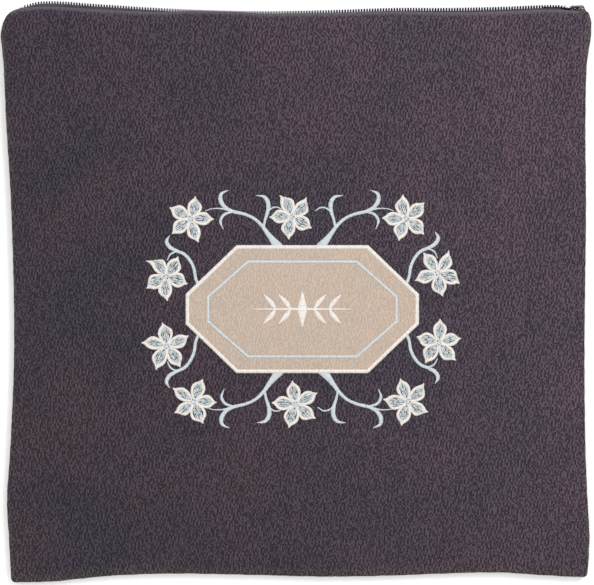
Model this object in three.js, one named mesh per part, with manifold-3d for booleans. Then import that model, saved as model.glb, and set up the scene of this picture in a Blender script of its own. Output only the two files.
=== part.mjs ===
// A soft zipped prayer-shawl bag, lying on its back with its embroidered front upwards.
// Millimetres. +X is to the right, +Y runs from the bottom seam to the zip, and +Z is out of the front.
// Two cloth panels with turned-in edges meet at a seam round three sides. The zip closes the fourth side,
// rolled a little towards the back. An octagonal cloth patch, its satin borders, ten flowers and eight
// sprays of vine are stitched on the front.

import * as THREE from 'three';
import { mergeVertices } from 'three/addons/utils/BufferGeometryUtils.js';
import Module from 'manifold-3d';

const wasm = await Module();
wasm.setup();

// Bag
const bagWidth = 360;
const bagHeight = 355;
const clothWall = 1.2;
const seamAllowance = 8;
const seamGap = 0.3;
const foldSlack = 0.3;
const crownLift = 13.5;
const bottomCornerRadius = 3;
const zipLeftCornerRadius = 15;
const zipRightCornerRadius = 9;

// Zip
const zipHeight = 7.2;
const chainWidth = 6;
const chainThickness = 2.2;
const coilPitch = 1.67;
const coilRib = 0.55;
const chainStartRoom = 14;
const sliderRoom = 8;
const chainStart = chainStartRoom - bagWidth / 2;
const sliderPlace = bagWidth / 2 - sliderRoom;
const tapeThickness = 0.7;
const tapeTuck = 12;
const frontReveal = 3.4;
const backReveal = 8.2;
const runningGap = 0.35;

// Slider and pull
const sliderRoll = 75;
const twistLength = 24;
const sliderSink = 1.4;
const startSink = 1.6;
const startSinkLength = 12;
const sliderLength = 9.6;
const sliderWidth = 8.6;
const sliderTail = 7;
const plateThickness = 0.9;
const lipWidth = 0.8;
const lipHeight = 0.65;
const postLength = 2;
const postWidth = 2.4;
const crownLength = 6.8;
const crownWidth = 1.6;
const crownWire = 0.9;
const crownRoom = 2;
const pullLength = 22;
const pullWidth = 5.4;
const pullThickness = 1.2;
const pullNeck = 4.8;
const pullBar = 1.1;
const pullEyeSlack = 0.5;
const pullDroop = 6;

// Embroidery
const emblemX = 4;
const emblemY = -10.4;
const emblemWidth = 194;
const emblemHeight = 140;
const stitchGap = 0.35;
const patchSideRoom = 26;
const patchEndRoom = 31;
const patchSlant = 31;
const patchWidth = emblemWidth - 2 * patchSideRoom;
const patchHeight = emblemHeight - 2 * patchEndRoom;
const patchTopFlat = patchWidth - 2 * patchSlant;
const patchSideFlat = 18.5;
const patchThickness = 1;
const borderWidth = 2.4;
const borderHeight = 1.8;
const innerLineSide = 13;
const innerLineEnd = 9.4;
const innerTopLess = 13.4;
const innerSideLess = 2.7;
const innerTopFlat = patchTopFlat - innerTopLess;
const innerSideFlat = patchSideFlat - innerSideLess;
const innerLineWidth = 1.5;
const innerLineHeight = 0.8;
const flowerReach = 14.6;
const petalWidth = 8.6;
const flowerHeart = 2.3;
const flowerHeight = 1.3;
const vineHeight = 1;
const sprigLength = 60;
const sprigRise = 22;
const sprigHeight = 0.8;

const halfWidth = bagWidth / 2;
const halfHeight = bagHeight / 2;
const foldHeight = 2 * clothWall + foldSlack;
const { smoothstep, clamp, lerp } = THREE.MathUtils;

// How far each side of the bag bows in, as shares of half the width, and how high its seam lies,
// as a share of the zip's height. `at` runs from -1 at the bottom to 1 at the zip.
const sideStations = [
  { at: -1, left: 0.034, right: 0.01, seam: 0.5 },
  { at: -0.86, left: 0.027, right: 0.003, seam: 0.58 },
  { at: -0.72, left: 0.02, right: 0.01, seam: 0.66 },
  { at: -0.54, left: 0.031, right: 0.017, seam: 0.7 },
  { at: -0.2, left: 0.044, right: 0.02, seam: 0.72 },
  { at: 0.3, left: 0.034, right: 0.015, seam: 0.74 },
  { at: 0.6, left: 0.017, right: 0.017, seam: 0.8 },
  { at: 0.8, left: 0.008, right: 0.012, seam: 0.9 },
  { at: 0.9, left: 0, right: 0, seam: 0.95 },
  { at: 1, left: 0, right: 0, seam: 1 },
];

// How far the zip's line and the bottom edge bow in, as shares of half the height, and how far the zip's
// outer face is turned from the top towards the back, in degrees. `at` runs from -1 at the left to 1 at
// the right.
const endStations = [
  { at: -1, zip: 0.011, bottom: 0, roll: 10 },
  { at: -0.92, zip: 0.01, bottom: 0.001, roll: 11 },
  { at: -0.86, zip: 0.001, bottom: 0.003, roll: 12 },
  { at: -0.66, zip: 0.011, bottom: 0.022, roll: 26 },
  { at: -0.46, zip: 0.024, bottom: 0.03, roll: 46 },
  { at: -0.16, zip: 0.034, bottom: 0.026, roll: 44 },
  { at: 0.1, zip: 0.031, bottom: 0.02, roll: 20 },
  { at: 0.34, zip: 0.023, bottom: 0.024, roll: 12 },
  { at: 0.52, zip: 0.023, bottom: 0.031, roll: 10 },
  { at: 0.7, zip: 0.019, bottom: 0.034, roll: 10 },
  { at: 0.86, zip: 0.013, bottom: 0.024, roll: 14 },
  { at: 1, zip: 0.016, bottom: 0.017, roll: 14 },
];

// Broad soft folds of the front: place, length and width as shares of half the width,
// depth as a share of the crown's lift (a negative depth is a ridge), turned by `turn` degrees.
const frontFolds = [
  { x: -0.8, y: 0.78, length: 0.34, width: 0.13, depth: 0.1, turn: 40 },
  { x: 0.82, y: 0.8, length: 0.3, width: 0.13, depth: 0.09, turn: -45 },
  { x: -0.78, y: -0.8, length: 0.36, width: 0.13, depth: 0.1, turn: -42 },
  { x: 0.8, y: -0.78, length: 0.32, width: 0.14, depth: 0.09, turn: 40 },
  { x: -0.42, y: -0.9, length: 0.16, width: 0.1, depth: 0.09, turn: 84 },
  { x: 0.5, y: -0.9, length: 0.2, width: 0.1, depth: 0.12, turn: 96 },
  { x: -0.1, y: 0.86, length: 0.4, width: 0.1, depth: 0.08, turn: 4 },
  { x: 0.45, y: 0.84, length: 0.18, width: 0.1, depth: -0.06, turn: 80 },
];

// The hems close up to the outline at the corners: the higher the power, the nearer to the corner.
const hemClosing = { front: 24, back: 90 };

// Rings of a panel from its middle to its edge, each by its distance from the edge as a share of half the width.
const panelRings = [0.83, 0.67, 0.5, 0.345, 0.21, 0.11];
const cornerCrowding = 0.5;
const crownRoundness = 3;
const crownFullness = 0.75;
const zipRise = { from: 0.55, cornerSharpness: 90 };
const restingShare = 0.45;

// A petal's half outline: distance from the heart as a share of the reach, half width as a share of the petal's.
const petalOutline = [
  { along: 0.4, wide: 0.82 },
  { along: 0.7, wide: 0.92 },
];
const petalCount = 5;
const petalTipTurn = 4;

// The flowers, by shares of half the emblem, and the angle of one petal.
const flowers = [
  { name: 'flower_top_left', x: -0.7, y: 0.782, turn: 0 },
  { name: 'flower_top_middle', x: -0.065, y: 0.8, turn: 36 },
  { name: 'flower_top_right', x: 0.65, y: 0.782, turn: 36 },
  { name: 'flower_left_upper', x: -0.852, y: 0.281, turn: -90 },
  { name: 'flower_left_lower', x: -0.849, y: -0.322, turn: 90 },
  { name: 'flower_right_upper', x: 0.847, y: 0.312, turn: -90 },
  { name: 'flower_right_lower', x: 0.854, y: -0.292, turn: 90 },
  { name: 'flower_bottom_left', x: -0.68, y: -0.803, turn: 0 },
  { name: 'flower_bottom_middle', x: -0.04, y: -0.825, turn: 33 },
  { name: 'flower_bottom_right', x: 0.662, y: -0.803, turn: 36 },
];

// Strokes of the vines in the top left quarter: shares of half the emblem, and each stroke's width
// in shares of the petal's width.
const endVine = [
  [{ x: -0.178, y: 0.585, wide: 0.58 }, { x: -0.215, y: 0.652, wide: 0.38 }, { x: -0.252, y: 0.722, wide: 0.3 },
    { x: -0.302, y: 0.785, wide: 0.26 }, { x: -0.36, y: 0.822, wide: 0.26 }, { x: -0.43, y: 0.845, wide: 0.28 },
    { x: -0.49, y: 0.868, wide: 0.17 }, { x: -0.532, y: 0.873, wide: 0.12 }],
  [{ x: -0.425, y: 0.845, wide: 0.2 }, { x: -0.483, y: 0.883, wide: 0.31 }, { x: -0.512, y: 0.943, wide: 0.36 },
    { x: -0.508, y: 0.998, wide: 0.28 }, { x: -0.465, y: 1.03, wide: 0.08 }],
  [{ x: -0.43, y: 0.845, wide: 0.16 }, { x: -0.488, y: 0.82, wide: 0.24 }, { x: -0.512, y: 0.765, wide: 0.24 },
    { x: -0.496, y: 0.695, wide: 0.08 }],
  [{ x: -0.243, y: 0.705, wide: 0.2 }, { x: -0.232, y: 0.78, wide: 0.24 }, { x: -0.216, y: 0.85, wide: 0.31 },
    { x: -0.214, y: 0.92, wide: 0.36 }, { x: -0.238, y: 0.972, wide: 0.28 }, { x: -0.288, y: 0.985, wide: 0.08 }],
];
const endTendrilLeft = [{ x: -0.215, y: 0.845, wide: 0.16 }, { x: -0.192, y: 0.876, wide: 0.16 },
  { x: -0.162, y: 0.884, wide: 0.12 }];
const endTendrilRight = [{ x: -0.215, y: 0.845, wide: 0.16 }, { x: -0.185, y: 0.875, wide: 0.16 },
  { x: -0.15, y: 0.88, wide: 0.14 }, { x: -0.118, y: 0.852, wide: 0.1 }];
const sideVine = [
  [{ x: -0.668, y: 0.268, wide: 0.26 }, { x: -0.676, y: 0.34, wide: 0.27 }, { x: -0.7, y: 0.415, wide: 0.27 },
    { x: -0.738, y: 0.475, wide: 0.27 }, { x: -0.79, y: 0.507, wide: 0.28 }, { x: -0.832, y: 0.54, wide: 0.33 },
    { x: -0.85, y: 0.59, wide: 0.3 }, { x: -0.832, y: 0.636, wide: 0.08 }],
  [{ x: -0.785, y: 0.503, wide: 0.18 }, { x: -0.826, y: 0.474, wide: 0.16 }, { x: -0.845, y: 0.425, wide: 0.1 }],
];

// The four quarters of the emblem, mirrored from the top left: the end vines are slid sideways by a share of
// half its width, and the side vines stretched upwards.
const quarters = [
  { name: 'top_left', across: 1, up: 1, slide: 0, stretch: 1, tendril: endTendrilLeft },
  { name: 'top_right', across: -1, up: 1, slide: -0.036, stretch: 1.05, tendril: endTendrilRight },
  { name: 'bottom_left', across: 1, up: -1, slide: 0.006, stretch: 1.07, tendril: endTendrilLeft },
  { name: 'bottom_right', across: -1, up: -1, slide: -0.02, stretch: 1.01, tendril: endTendrilRight },
];

// A plain sprig in the middle of the patch: shares of half its length and half its rise,
// with widths in shares of its rise.
const sprigStem = [{ x: -1, y: 0, wide: 0.03 }, { x: -0.5, y: 0, wide: 0.06 }, { x: 0, y: 0, wide: 0.08 },
  { x: 0.5, y: 0, wide: 0.06 }, { x: 1, y: 0, wide: 0.03 }];
const sprigHeart = [{ x: 0, y: -1, wide: 0.03 }, { x: 0, y: -0.4, wide: 0.2 }, { x: 0, y: 0, wide: 0.3 },
  { x: 0, y: 0.4, wide: 0.2 }, { x: 0, y: 1, wide: 0.03 }];
const sprigLeaf = [{ x: 0, y: 0, wide: 0.05 }, { x: 0.07, y: 0.3, wide: 0.15 }, { x: 0.15, y: 0.55, wide: 0.12 },
  { x: 0.24, y: 0.8, wide: 0.03 }];
const sprigLeafPlaces = [0.24, 0.54];

const cloth = new THREE.MeshStandardMaterial({ color: 0x4c434d, roughness: 0.9, metalness: 0 });
const patchCloth = new THREE.MeshStandardMaterial({ color: 0xc8b5a4, roughness: 0.9, metalness: 0 });
const creamThread = new THREE.MeshStandardMaterial({ color: 0xe8e2d8, roughness: 0.5, metalness: 0 });
const blueThread = new THREE.MeshStandardMaterial({ color: 0xbfccd2, roughness: 0.5, metalness: 0 });
const tapeCloth = new THREE.MeshStandardMaterial({ color: 0x56535b, roughness: 0.85, metalness: 0 });
const coilNylon = new THREE.MeshStandardMaterial({ color: 0x23272b, roughness: 0.4, metalness: 0 });
const darkMetal = new THREE.MeshStandardMaterial({ color: 0x4a4a4c, roughness: 0.35, metalness: 0.9 });

// A smooth function through one column of a table.
function follow(stations, column) {
  const places = stations.map((row) => row.at);
  const values = stations.map((row) => row[column]);
  const curve = new THREE.CubicInterpolant(places, values, 1);
  return (at) => curve.evaluate(clamp(at, places[0], places[places.length - 1]))[0];
}

const leftBow = follow(sideStations, 'left');
const rightBow = follow(sideStations, 'right');
const seamShare = follow(sideStations, 'seam');
const zipBow = follow(endStations, 'zip');
const bottomBow = follow(endStations, 'bottom');
const freeRoll = follow(endStations, 'roll');

// The bag's outline bows in from its rectangle. These two go from the plain rectangle to the bag and back.
function bowed(x, y) {
  const across = x / halfWidth;
  const up = y / halfHeight;
  return {
    x: x * (1 - (x < 0 ? leftBow(up) : rightBow(up))),
    y: y * (1 - (y < 0 ? bottomBow(across) : zipBow(across))),
  };
}

function unbowed(x, y) {
  let plain = { x, y };
  for (let step = 0; step < 4; step += 1) {
    const there = bowed(plain.x, plain.y);
    plain = { x: plain.x + x - there.x, y: plain.y + y - there.y };
  }
  return plain;
}

// How far the zip is turned in for the slider, from 0 to 1.
function sliderShare(x, before = 0) {
  const near = sliderPlace - sliderLength / 2 - before;
  return smoothstep(x, near - twistLength + before, near);
}

// The zip's chain, whose outer edge follows the outline but draws in at its two ends. `from` gives a place
// by its distances from the middle of the chain: across it towards the front, and out of its outer face.
function zipFrame(x) {
  const degrees = lerp(freeRoll(x / halfWidth), sliderRoll, sliderShare(x));
  const roll = THREE.MathUtils.degToRad(degrees);
  const outward = new THREE.Vector3(0, Math.cos(roll), -Math.sin(roll));
  const frontward = new THREE.Vector3(0, Math.sin(roll), Math.cos(roll));
  const reach = (chainWidth / 2) * frontward.y + (chainThickness / 2) * outward.y;
  const sink = sliderSink * sliderShare(x)
    + startSink * (1 - smoothstep(x, chainStart, chainStart + startSinkLength));
  const centre = new THREE.Vector3(x, bowed(x, halfHeight).y - reach - sink, zipHeight);
  const from = (across, out) => centre.clone().addScaledVector(frontward, across).addScaledVector(outward, out);
  return { from };
}

const frontZipBase = zipHeight + 4.5;
const backZipBase = zipHeight - 4.3;

// The height of the plane that a panel's turned edge lies on: the seam at the sides and bottom,
// and the zip's tape along the top.
function edgeBase(x, y, zipBase) {
  const across = Math.min(Math.abs(x) / halfWidth, 1);
  const up = clamp(y / halfHeight, -1, 1);
  const seam = zipHeight * seamShare(up);
  const share = smoothstep(up, zipRise.from, 1) * (1 - across ** zipRise.cornerSharpness);
  return lerp(seam, zipBase, share);
}

// How full the bag is at a place, from 0 at its edge to 1 in the middle.
function fullness(x, y, reveal) {
  const across = Math.min(Math.abs(x) / halfWidth, 1);
  const up = Math.min(Math.abs(y) / (y > 0 ? halfHeight - reveal : halfHeight), 1);
  return ((1 - across ** crownRoundness) * (1 - up ** crownRoundness)) ** crownFullness;
}

function foldDepth(x, y) {
  let depth = 0;
  for (const fold of frontFolds) {
    const turn = THREE.MathUtils.degToRad(fold.turn);
    const dx = x / halfWidth - fold.x;
    const dy = y / halfHeight - fold.y;
    const along = (dx * Math.cos(turn) + dy * Math.sin(turn)) / fold.length;
    const beside = (dy * Math.cos(turn) - dx * Math.sin(turn)) / fold.width;
    depth += fold.depth * crownLift * Math.exp(-along * along - beside * beside);
  }
  return depth;
}

// Both take a place on the plain rectangle and give the outer face of the front or back panel.
function frontHeight(x, y) {
  const full = fullness(x, y, frontReveal);
  return edgeBase(x, y, frontZipBase) + seamGap / 2 + foldHeight + crownLift * full
    - foldDepth(x, y) * smoothstep(full, 0, 0.3);
}

function backHeight(x, y) {
  const edge = edgeBase(x, y, backZipBase) - seamGap / 2 - foldHeight;
  return edge * (1 - smoothstep(fullness(x, y, backReveal), 0, restingShare));
}

function frontSurface(x, y) {
  const plain = unbowed(x, y);
  return frontHeight(plain.x, plain.y);
}

// A point on a rectangle with rounded corners, from a point on the plain rectangle.
function roundedPoint(x, y, spanX, spanY, radius) {
  const coreX = spanX - radius;
  const coreY = spanY - radius;
  const overX = Math.abs(x) - coreX;
  const overY = Math.abs(y) - coreY;
  if (overX <= 0 || overY <= 0) return { x, y };
  const stretch = radius / Math.hypot(overX, overY);
  return { x: Math.sign(x) * (coreX + overX * stretch), y: Math.sign(y) * (coreY + overY * stretch) };
}

function cornerRadius(x, y) {
  if (y < 0) return bottomCornerRadius;
  return x < 0 ? zipLeftCornerRadius : zipRightCornerRadius;
}

// One cloth panel: a crowned wall whose edge turns in by the seam allowance. `face` is 1 for the front
// and -1 for the back.
function panel({ face, reveal, closing, zipBase, outerHeight }) {
  const foldReach = foldHeight / 2;
  const rings = [
    { inset: halfWidth },
    ...panelRings.map((share) => ({ inset: share * halfWidth })),
    { inset: seamAllowance },
    { inset: foldReach, lift: foldHeight, innerLift: foldHeight - clothWall, innerInset: foldReach },
    { inset: 0, lift: foldReach, innerLift: foldReach, innerInset: foldReach - foldSlack / 2 },
    { inset: foldReach, lift: 0, innerLift: clothWall, innerInset: foldReach },
    { inset: seamAllowance, lift: 0, innerLift: clothWall, innerInset: seamAllowance },
  ];
  const lastRing = rings.length - 1;
  const crowd = (share) => share * (1 + cornerCrowding - cornerCrowding * share * share);
  const place = (column, row, inner) => {
    const ring = Math.max(Math.abs(column), Math.abs(row));
    if (ring === 0) return new THREE.Vector3(0, 0, outerHeight(0, 0) - (inner ? face * clothWall : 0));
    const station = rings[ring];
    const inset = inner ? (station.innerInset ?? station.inset) : station.inset;
    const spanX = halfWidth - inset;
    const x = crowd(column / ring) * spanX;
    const kept = row > 0 ? reveal * (1 - (Math.abs(x) / halfWidth) ** closing) : 0;
    const spanY = halfHeight - inset - kept;
    const radius = Math.max(cornerRadius(column, row) - inset, 0.2);
    const plain = roundedPoint(x, crowd(row / ring) * spanY, spanX, spanY, radius);
    const there = bowed(plain.x, plain.y);
    let z = outerHeight(plain.x, plain.y) - (inner ? face * clothWall : 0);
    if (station.lift !== undefined) {
      const lift = inner ? station.innerLift : station.lift;
      z = edgeBase(plain.x, plain.y, zipBase) + face * (seamGap / 2 + lift);
    }
    return new THREE.Vector3(there.x, there.y, z);
  };
  const grid = new THREE.BoxGeometry(2, 2, 2, 2 * lastRing, 2 * lastRing, 1);
  const points = grid.getAttribute('position');
  for (let index = 0; index < points.count; index += 1) {
    const column = Math.round(points.getX(index) * lastRing);
    const row = Math.round(points.getY(index) * lastRing);
    const inner = points.getZ(index) * face < 0;
    const { x, y, z } = place(column, row, inner);
    points.setXYZ(index, x, y, z);
  }
  return grid;
}

// Maps every vertex of a geometry through a function of its place.
function reshape(geometry, move) {
  const points = geometry.getAttribute('position');
  const point = new THREE.Vector3();
  for (let index = 0; index < points.count; index += 1) {
    point.fromBufferAttribute(points, index);
    const moved = move(point);
    points.setXYZ(index, moved.x, moved.y, moved.z);
  }
  return geometry;
}

// The closed chain: one rib for each turn of the coil, those of the front and back halves in turn.
function zipChain() {
  const chainEnd = sliderPlace - 1;
  const ribs = Math.round((chainEnd - chainStart) / coilPitch);
  const length = chainEnd - chainStart;
  const bar = new THREE.BoxGeometry(length, chainThickness, chainWidth, 2 * ribs, 1, 1);
  return reshape(bar, (point) => {
    const step = Math.round((point.x / length + 0.5) * 2 * ribs);
    const between = (step % 2 === 1) === point.z > 0;
    const beside = point.z - (between ? Math.sign(point.z) * coilRib * 0.5 : 0);
    const out = point.y - (between && point.y > 0 ? coilRib : 0);
    return zipFrame(chainStart + (step / (2 * ribs)) * length).from(beside, out);
  });
}

// A tape from the chain to its seam inside the bag, as a strip through stations given by their place
// beside the chain's centre: `y` and `z` of the tape's middle.
function tape(stationsAt, start, end) {
  const pieces = 20;
  const across = 3;
  const strip = new THREE.BoxGeometry(2, 2, 2, pieces, 1, across);
  return reshape(strip, (point) => {
    const x = lerp(start, end, (point.x + 1) / 2);
    const row = Math.round(((point.z + 1) / 2) * across);
    const stations = stationsAt(x);
    const here = stations[row];
    const before = stations[Math.max(row - 1, 0)];
    const after = stations[Math.min(row + 1, across)];
    const normal = new THREE.Vector2(after.z - before.z, before.y - after.y).normalize();
    const offset = (point.y * tapeThickness) / 2;
    return new THREE.Vector3(x, here.y + normal.x * offset, here.z + normal.y * offset);
  });
}

const tapeStart = chainStart - 2;
const tapeEnd = sliderPlace - 1.5;
const besideChain = (chainWidth + tapeThickness) / 2 + runningGap;

// Places of a tape's middle over the turned edge of its panel, from the plain rectangle's `y`.
function alongHem(x, y, zipBase, face) {
  const offset = seamGap / 2 - runningGap - tapeThickness / 2;
  return { y: bowed(x, y).y, z: edgeBase(x, y, zipBase) + face * offset };
}

function frontTape() {
  return tape((x) => {
    const nose = halfHeight - frontReveal;
    const tucked = sliderShare(x, 1);
    const turnedIn = smoothstep(tucked, 0.8, 1);
    const hem = (y) => alongHem(x, y, frontZipBase, 1);
    const byChain = zipFrame(x).from(besideChain, -chainThickness / 2);
    const edge = {
      y: lerp(byChain.y, hem(nose - 2).y, turnedIn),
      z: lerp(byChain.z, hem(nose - 2).z, turnedIn),
    };
    const next = lerp(edge.y, hem(nose - 1).y, 0.35);
    return [
      edge,
      { y: lerp(next, hem(nose - 3).y, turnedIn), z: lerp(edge.z, hem(nose).z, 0.7) },
      hem(nose - 1 - 4 * turnedIn),
      hem(nose - tapeTuck),
    ];
  }, tapeStart, tapeEnd);
}

function backTape() {
  const throughSlot = sliderWidth / 2 + 0.7;
  return tape((x) => {
    const nose = halfHeight - backReveal;
    const inSlider = sliderShare(x);
    const chainSide = zipFrame(x);
    const behind = lerp(-chainThickness / 2, 0, inSlider);
    const hem = (y) => alongHem(x, y, backZipBase, -1);
    return [
      hem(nose - tapeTuck),
      hem(nose - 1),
      chainSide.from(lerp(-besideChain - 0.6, -throughSlot, inSlider), behind),
      chainSide.from(-besideChain, behind),
    ];
  }, tapeStart, tapeEnd);
}

// A closed geometry as a solid that can be joined, and back again.
function solidOf(geometry) {
  const bare = geometry.clone();
  bare.deleteAttribute('normal');
  bare.deleteAttribute('uv');
  const merged = mergeVertices(bare, 1e-4);
  return new wasm.Manifold(new wasm.Mesh({
    numProp: 3,
    vertProperties: new Float32Array(merged.getAttribute('position').array),
    triVerts: new Uint32Array(merged.getIndex().array),
  }));
}

function geometryOf(solid) {
  const mesh = solid.getMesh();
  const geometry = new THREE.BufferGeometry();
  geometry.setAttribute('position', new THREE.BufferAttribute(new Float32Array(mesh.vertProperties), 3));
  geometry.setIndex(new THREE.BufferAttribute(new Uint32Array(mesh.triVerts), 1));
  geometry.computeVertexNormals();
  return geometry;
}

function joined(geometries) {
  return geometryOf(geometries.map(solidOf).reduce((whole, piece) => whole.add(piece)));
}

function plate(points, thickness, holes = []) {
  const outline = new THREE.Shape(points.map(([x, y]) => new THREE.Vector2(x, y)));
  outline.holes = holes.map((hole) => new THREE.Path(hole.map(([x, y]) => new THREE.Vector2(x, y))));
  return new THREE.ExtrudeGeometry(outline, { depth: thickness, bevelEnabled: false });
}

// The slider: x runs along the zip, y out of the zip's outer face and z across it.
function sliderBody() {
  const nose = sliderLength / 2;
  const inside = chainThickness / 2 + 0.3;
  const wide = sliderWidth / 2;
  const narrow = sliderTail / 2;
  const wing = plate([[-nose, -narrow], [0, -wide], [nose * 0.72, -wide], [nose, -wide * 0.5],
    [nose, wide * 0.5], [nose * 0.72, wide], [0, wide], [-nose, narrow]], plateThickness)
    .rotateX(Math.PI / 2);
  const outerWing = wing.clone().translate(0, inside + plateThickness, 0);
  const innerWing = wing.clone().translate(0, -inside, 0);
  const lips = [];
  for (const level of [inside - lipHeight, -inside]) {
    for (const side of [-1, 1]) {
      const lip = new THREE.BoxGeometry(nose * 1.5, lipHeight + 0.2, lipWidth);
      const middle = level + lipHeight / 2 + Math.sign(level) * 0.1;
      lips.push(lip.translate(-nose * 0.06, middle, side * (wide - lipWidth / 2 - 0.05)));
    }
  }
  const post = new THREE.BoxGeometry(postLength, 2 * inside + 0.4, postWidth)
    .translate(nose - postLength / 2 - 0.3, 0, 0);
  const foot = crownLength / 2;
  const roof = crownRoom + crownWire;
  const sunk = plateThickness / 2;
  const arch = plate([[-foot, -sunk], [-foot, roof * 0.62], [-foot * 0.72, roof], [foot * 0.72, roof],
    [foot, roof * 0.62], [foot, -sunk], [foot - crownWire, -sunk], [foot - crownWire, crownRoom * 0.7],
    [foot * 0.6, crownRoom], [-foot * 0.6, crownRoom], [crownWire - foot, crownRoom * 0.7],
    [crownWire - foot, -sunk]], crownWidth)
    .translate(0, inside + plateThickness, -crownWidth / 2);
  return joined([outerWing, innerWing, ...lips, post, arch]);
}

// The pull hangs on the crown by a bar at its end, and points away from it along -x when it lies on the slider.
const pivotOut = chainThickness / 2 + 0.3 + plateThickness + runningGap + pullThickness / 2;

function pullTab() {
  const neck = pullNeck / 2;
  const wide = pullWidth / 2;
  const eyeWide = crownWidth / 2 + pullEyeSlack;
  const eyeLong = crownLength / 2 + pullEyeSlack + 0.3;
  const bar = pullBar / 2;
  const outline = [[bar, -neck * 0.7], [bar, neck * 0.7], [-0.4, neck], [-eyeLong - 1.4, neck],
    [-pullLength * 0.45, wide], [-pullLength * 0.93, wide], [-pullLength, wide * 0.62],
    [-pullLength, -wide * 0.62], [-pullLength * 0.93, -wide], [-pullLength * 0.45, -wide],
    [-eyeLong - 1.4, -neck], [-0.4, -neck]];
  const eye = [[-bar, -eyeWide], [-bar, eyeWide], [-eyeLong, eyeWide], [-eyeLong, -eyeWide]];
  return plate(outline, pullThickness, [eye])
    .rotateX(Math.PI / 2)
    .translate(0, pullThickness / 2, 0)
    .rotateZ(-THREE.MathUtils.degToRad(pullDroop));
}

// Lays a flat stitched or cut shape on the front: `under` is the height of its underside over the cloth.
function laidOn(geometry, under) {
  return reshape(geometry, (point) => {
    const x = point.x + emblemX;
    const y = point.y + emblemY;
    return { x, y, z: frontSurface(x, y) + under + point.z };
  });
}

const patchOctagon = { width: patchWidth, height: patchHeight, topFlat: patchTopFlat, sideFlat: patchSideFlat };
const innerOctagon = {
  width: patchWidth - 2 * innerLineSide,
  height: patchHeight - 2 * innerLineEnd,
  topFlat: innerTopFlat,
  sideFlat: innerSideFlat,
};

// An octagon's corners, drawn in by `inset` all round.
function octagon(size, inset) {
  const wide = size.width / 2 - inset;
  const tall = size.height / 2 - inset;
  const slantX = size.width / 2 - size.topFlat / 2;
  const slantY = size.height / 2 - size.sideFlat / 2;
  const slant = Math.hypot(slantX, slantY);
  const topFlat = size.topFlat / 2 - (inset * (slant - slantX)) / slantY;
  const sideFlat = size.sideFlat / 2 - (inset * (slant - slantY)) / slantX;
  return { wide, tall, topFlat, sideFlat };
}

function patch() {
  const { wide, tall, topFlat, sideFlat } = octagon(patchOctagon, borderWidth + 0.3);
  const slopes = 3;
  const rows = 2 * slopes + 2;
  const sheet = new THREE.BoxGeometry(2, 2, patchThickness, 8, rows, 1);
  return laidOn(reshape(sheet, (point) => {
    const row = Math.round(((point.y + 1) / 2) * rows) - rows / 2;
    const step = Math.abs(row) - 1;
    const y = Math.sign(row) * (step < 0 ? 0 : lerp(sideFlat, tall, step / slopes));
    const reach = step < 0 ? wide : lerp(wide, topFlat, step / slopes);
    return { x: point.x * reach, y, z: point.z + patchThickness / 2 };
  }), stitchGap);
}

// A satin band round an octagon.
function octagonBand(size, width, height, under) {
  const ringAt = (distance) => {
    const { wide, tall, topFlat, sideFlat } = octagon(size, distance);
    const corners = [[wide, sideFlat], [topFlat, tall], [-topFlat, tall], [-wide, sideFlat],
      [-wide, -sideFlat], [-topFlat, -tall], [topFlat, -tall], [wide, -sideFlat]];
    const pieces = [3, 5, 3, 2, 3, 5, 3, 2];
    return corners.flatMap(([x, y], side) => {
      const [toX, toY] = corners[(side + 1) % corners.length];
      return Array.from({ length: pieces[side] }, (_, step) => [
        lerp(x, toX, step / pieces[side]), lerp(y, toY, step / pieces[side])]);
    });
  };
  return laidOn(plate(ringAt(0), height, [ringAt(width)]), under);
}

function flower({ x, y, turn }) {
  const centreX = (x * emblemWidth) / 2;
  const centreY = (y * emblemHeight) / 2;
  const points = [];
  const at = (angle, distance, beside) => {
    const aim = THREE.MathUtils.degToRad(angle);
    points.push([centreX + distance * Math.cos(aim) - beside * Math.sin(aim),
      centreY + distance * Math.sin(aim) + beside * Math.cos(aim)]);
  };
  for (let petal = 0; petal < petalCount; petal += 1) {
    const angle = turn + (petal * 360) / petalCount;
    at(angle - 180 / petalCount, flowerHeart, 0);
    for (const { along, wide } of petalOutline) at(angle, along * flowerReach, (-wide * petalWidth) / 2);
    at(angle + petalTipTurn, flowerReach, 0);
    for (const { along, wide } of [...petalOutline].reverse()) {
      at(angle, along * flowerReach, (wide * petalWidth) / 2);
    }
  }
  return laidOn(plate(points, flowerHeight), stitchGap);
}

// A tapering stroke as a flat plate along a smooth line through its stations.
function stroke(stations, height) {
  const left = [];
  const right = [];
  stations.forEach((station, index) => {
    const before = stations[Math.max(index - 1, 0)];
    const after = stations[Math.min(index + 1, stations.length - 1)];
    const beside = new THREE.Vector2(before.y - after.y, after.x - before.x).normalize()
      .multiplyScalar(station.wide / 2);
    left.push([station.x + beside.x, station.y + beside.y]);
    right.unshift([station.x - beside.x, station.y - beside.y]);
  });
  return plate([...right, ...left], height);
}

function vine(strokes, { across, up, slide = 0, stretch = 1 }) {
  const placed = strokes.map((stations) => stations.map(({ x, y, wide }) => ({
    x: ((x * across + slide) * emblemWidth) / 2,
    y: (y * up * stretch * emblemHeight) / 2,
    wide: wide * petalWidth,
  })));
  return laidOn(joined(placed.map((stations) => stroke(stations, vineHeight))), stitchGap);
}

function sprig() {
  const sized = (stations, offset, across, up) => stations.map(({ x, y, wide }) => ({
    x: ((offset + x) * across * sprigLength) / 2,
    y: (y * up * sprigRise) / 2,
    wide: wide * sprigRise,
  }));
  const strokes = [sized(sprigStem, 0, 1, 1), sized(sprigHeart, 0, 1, 1)];
  for (const place of sprigLeafPlaces) {
    for (const across of [-1, 1]) {
      for (const up of [-1, 1]) strokes.push(sized(sprigLeaf, place, across, up));
    }
  }
  return laidOn(joined(strokes.map((stations) => stroke(stations, sprigHeight))),
    stitchGap + patchThickness + 0.3);
}

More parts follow.
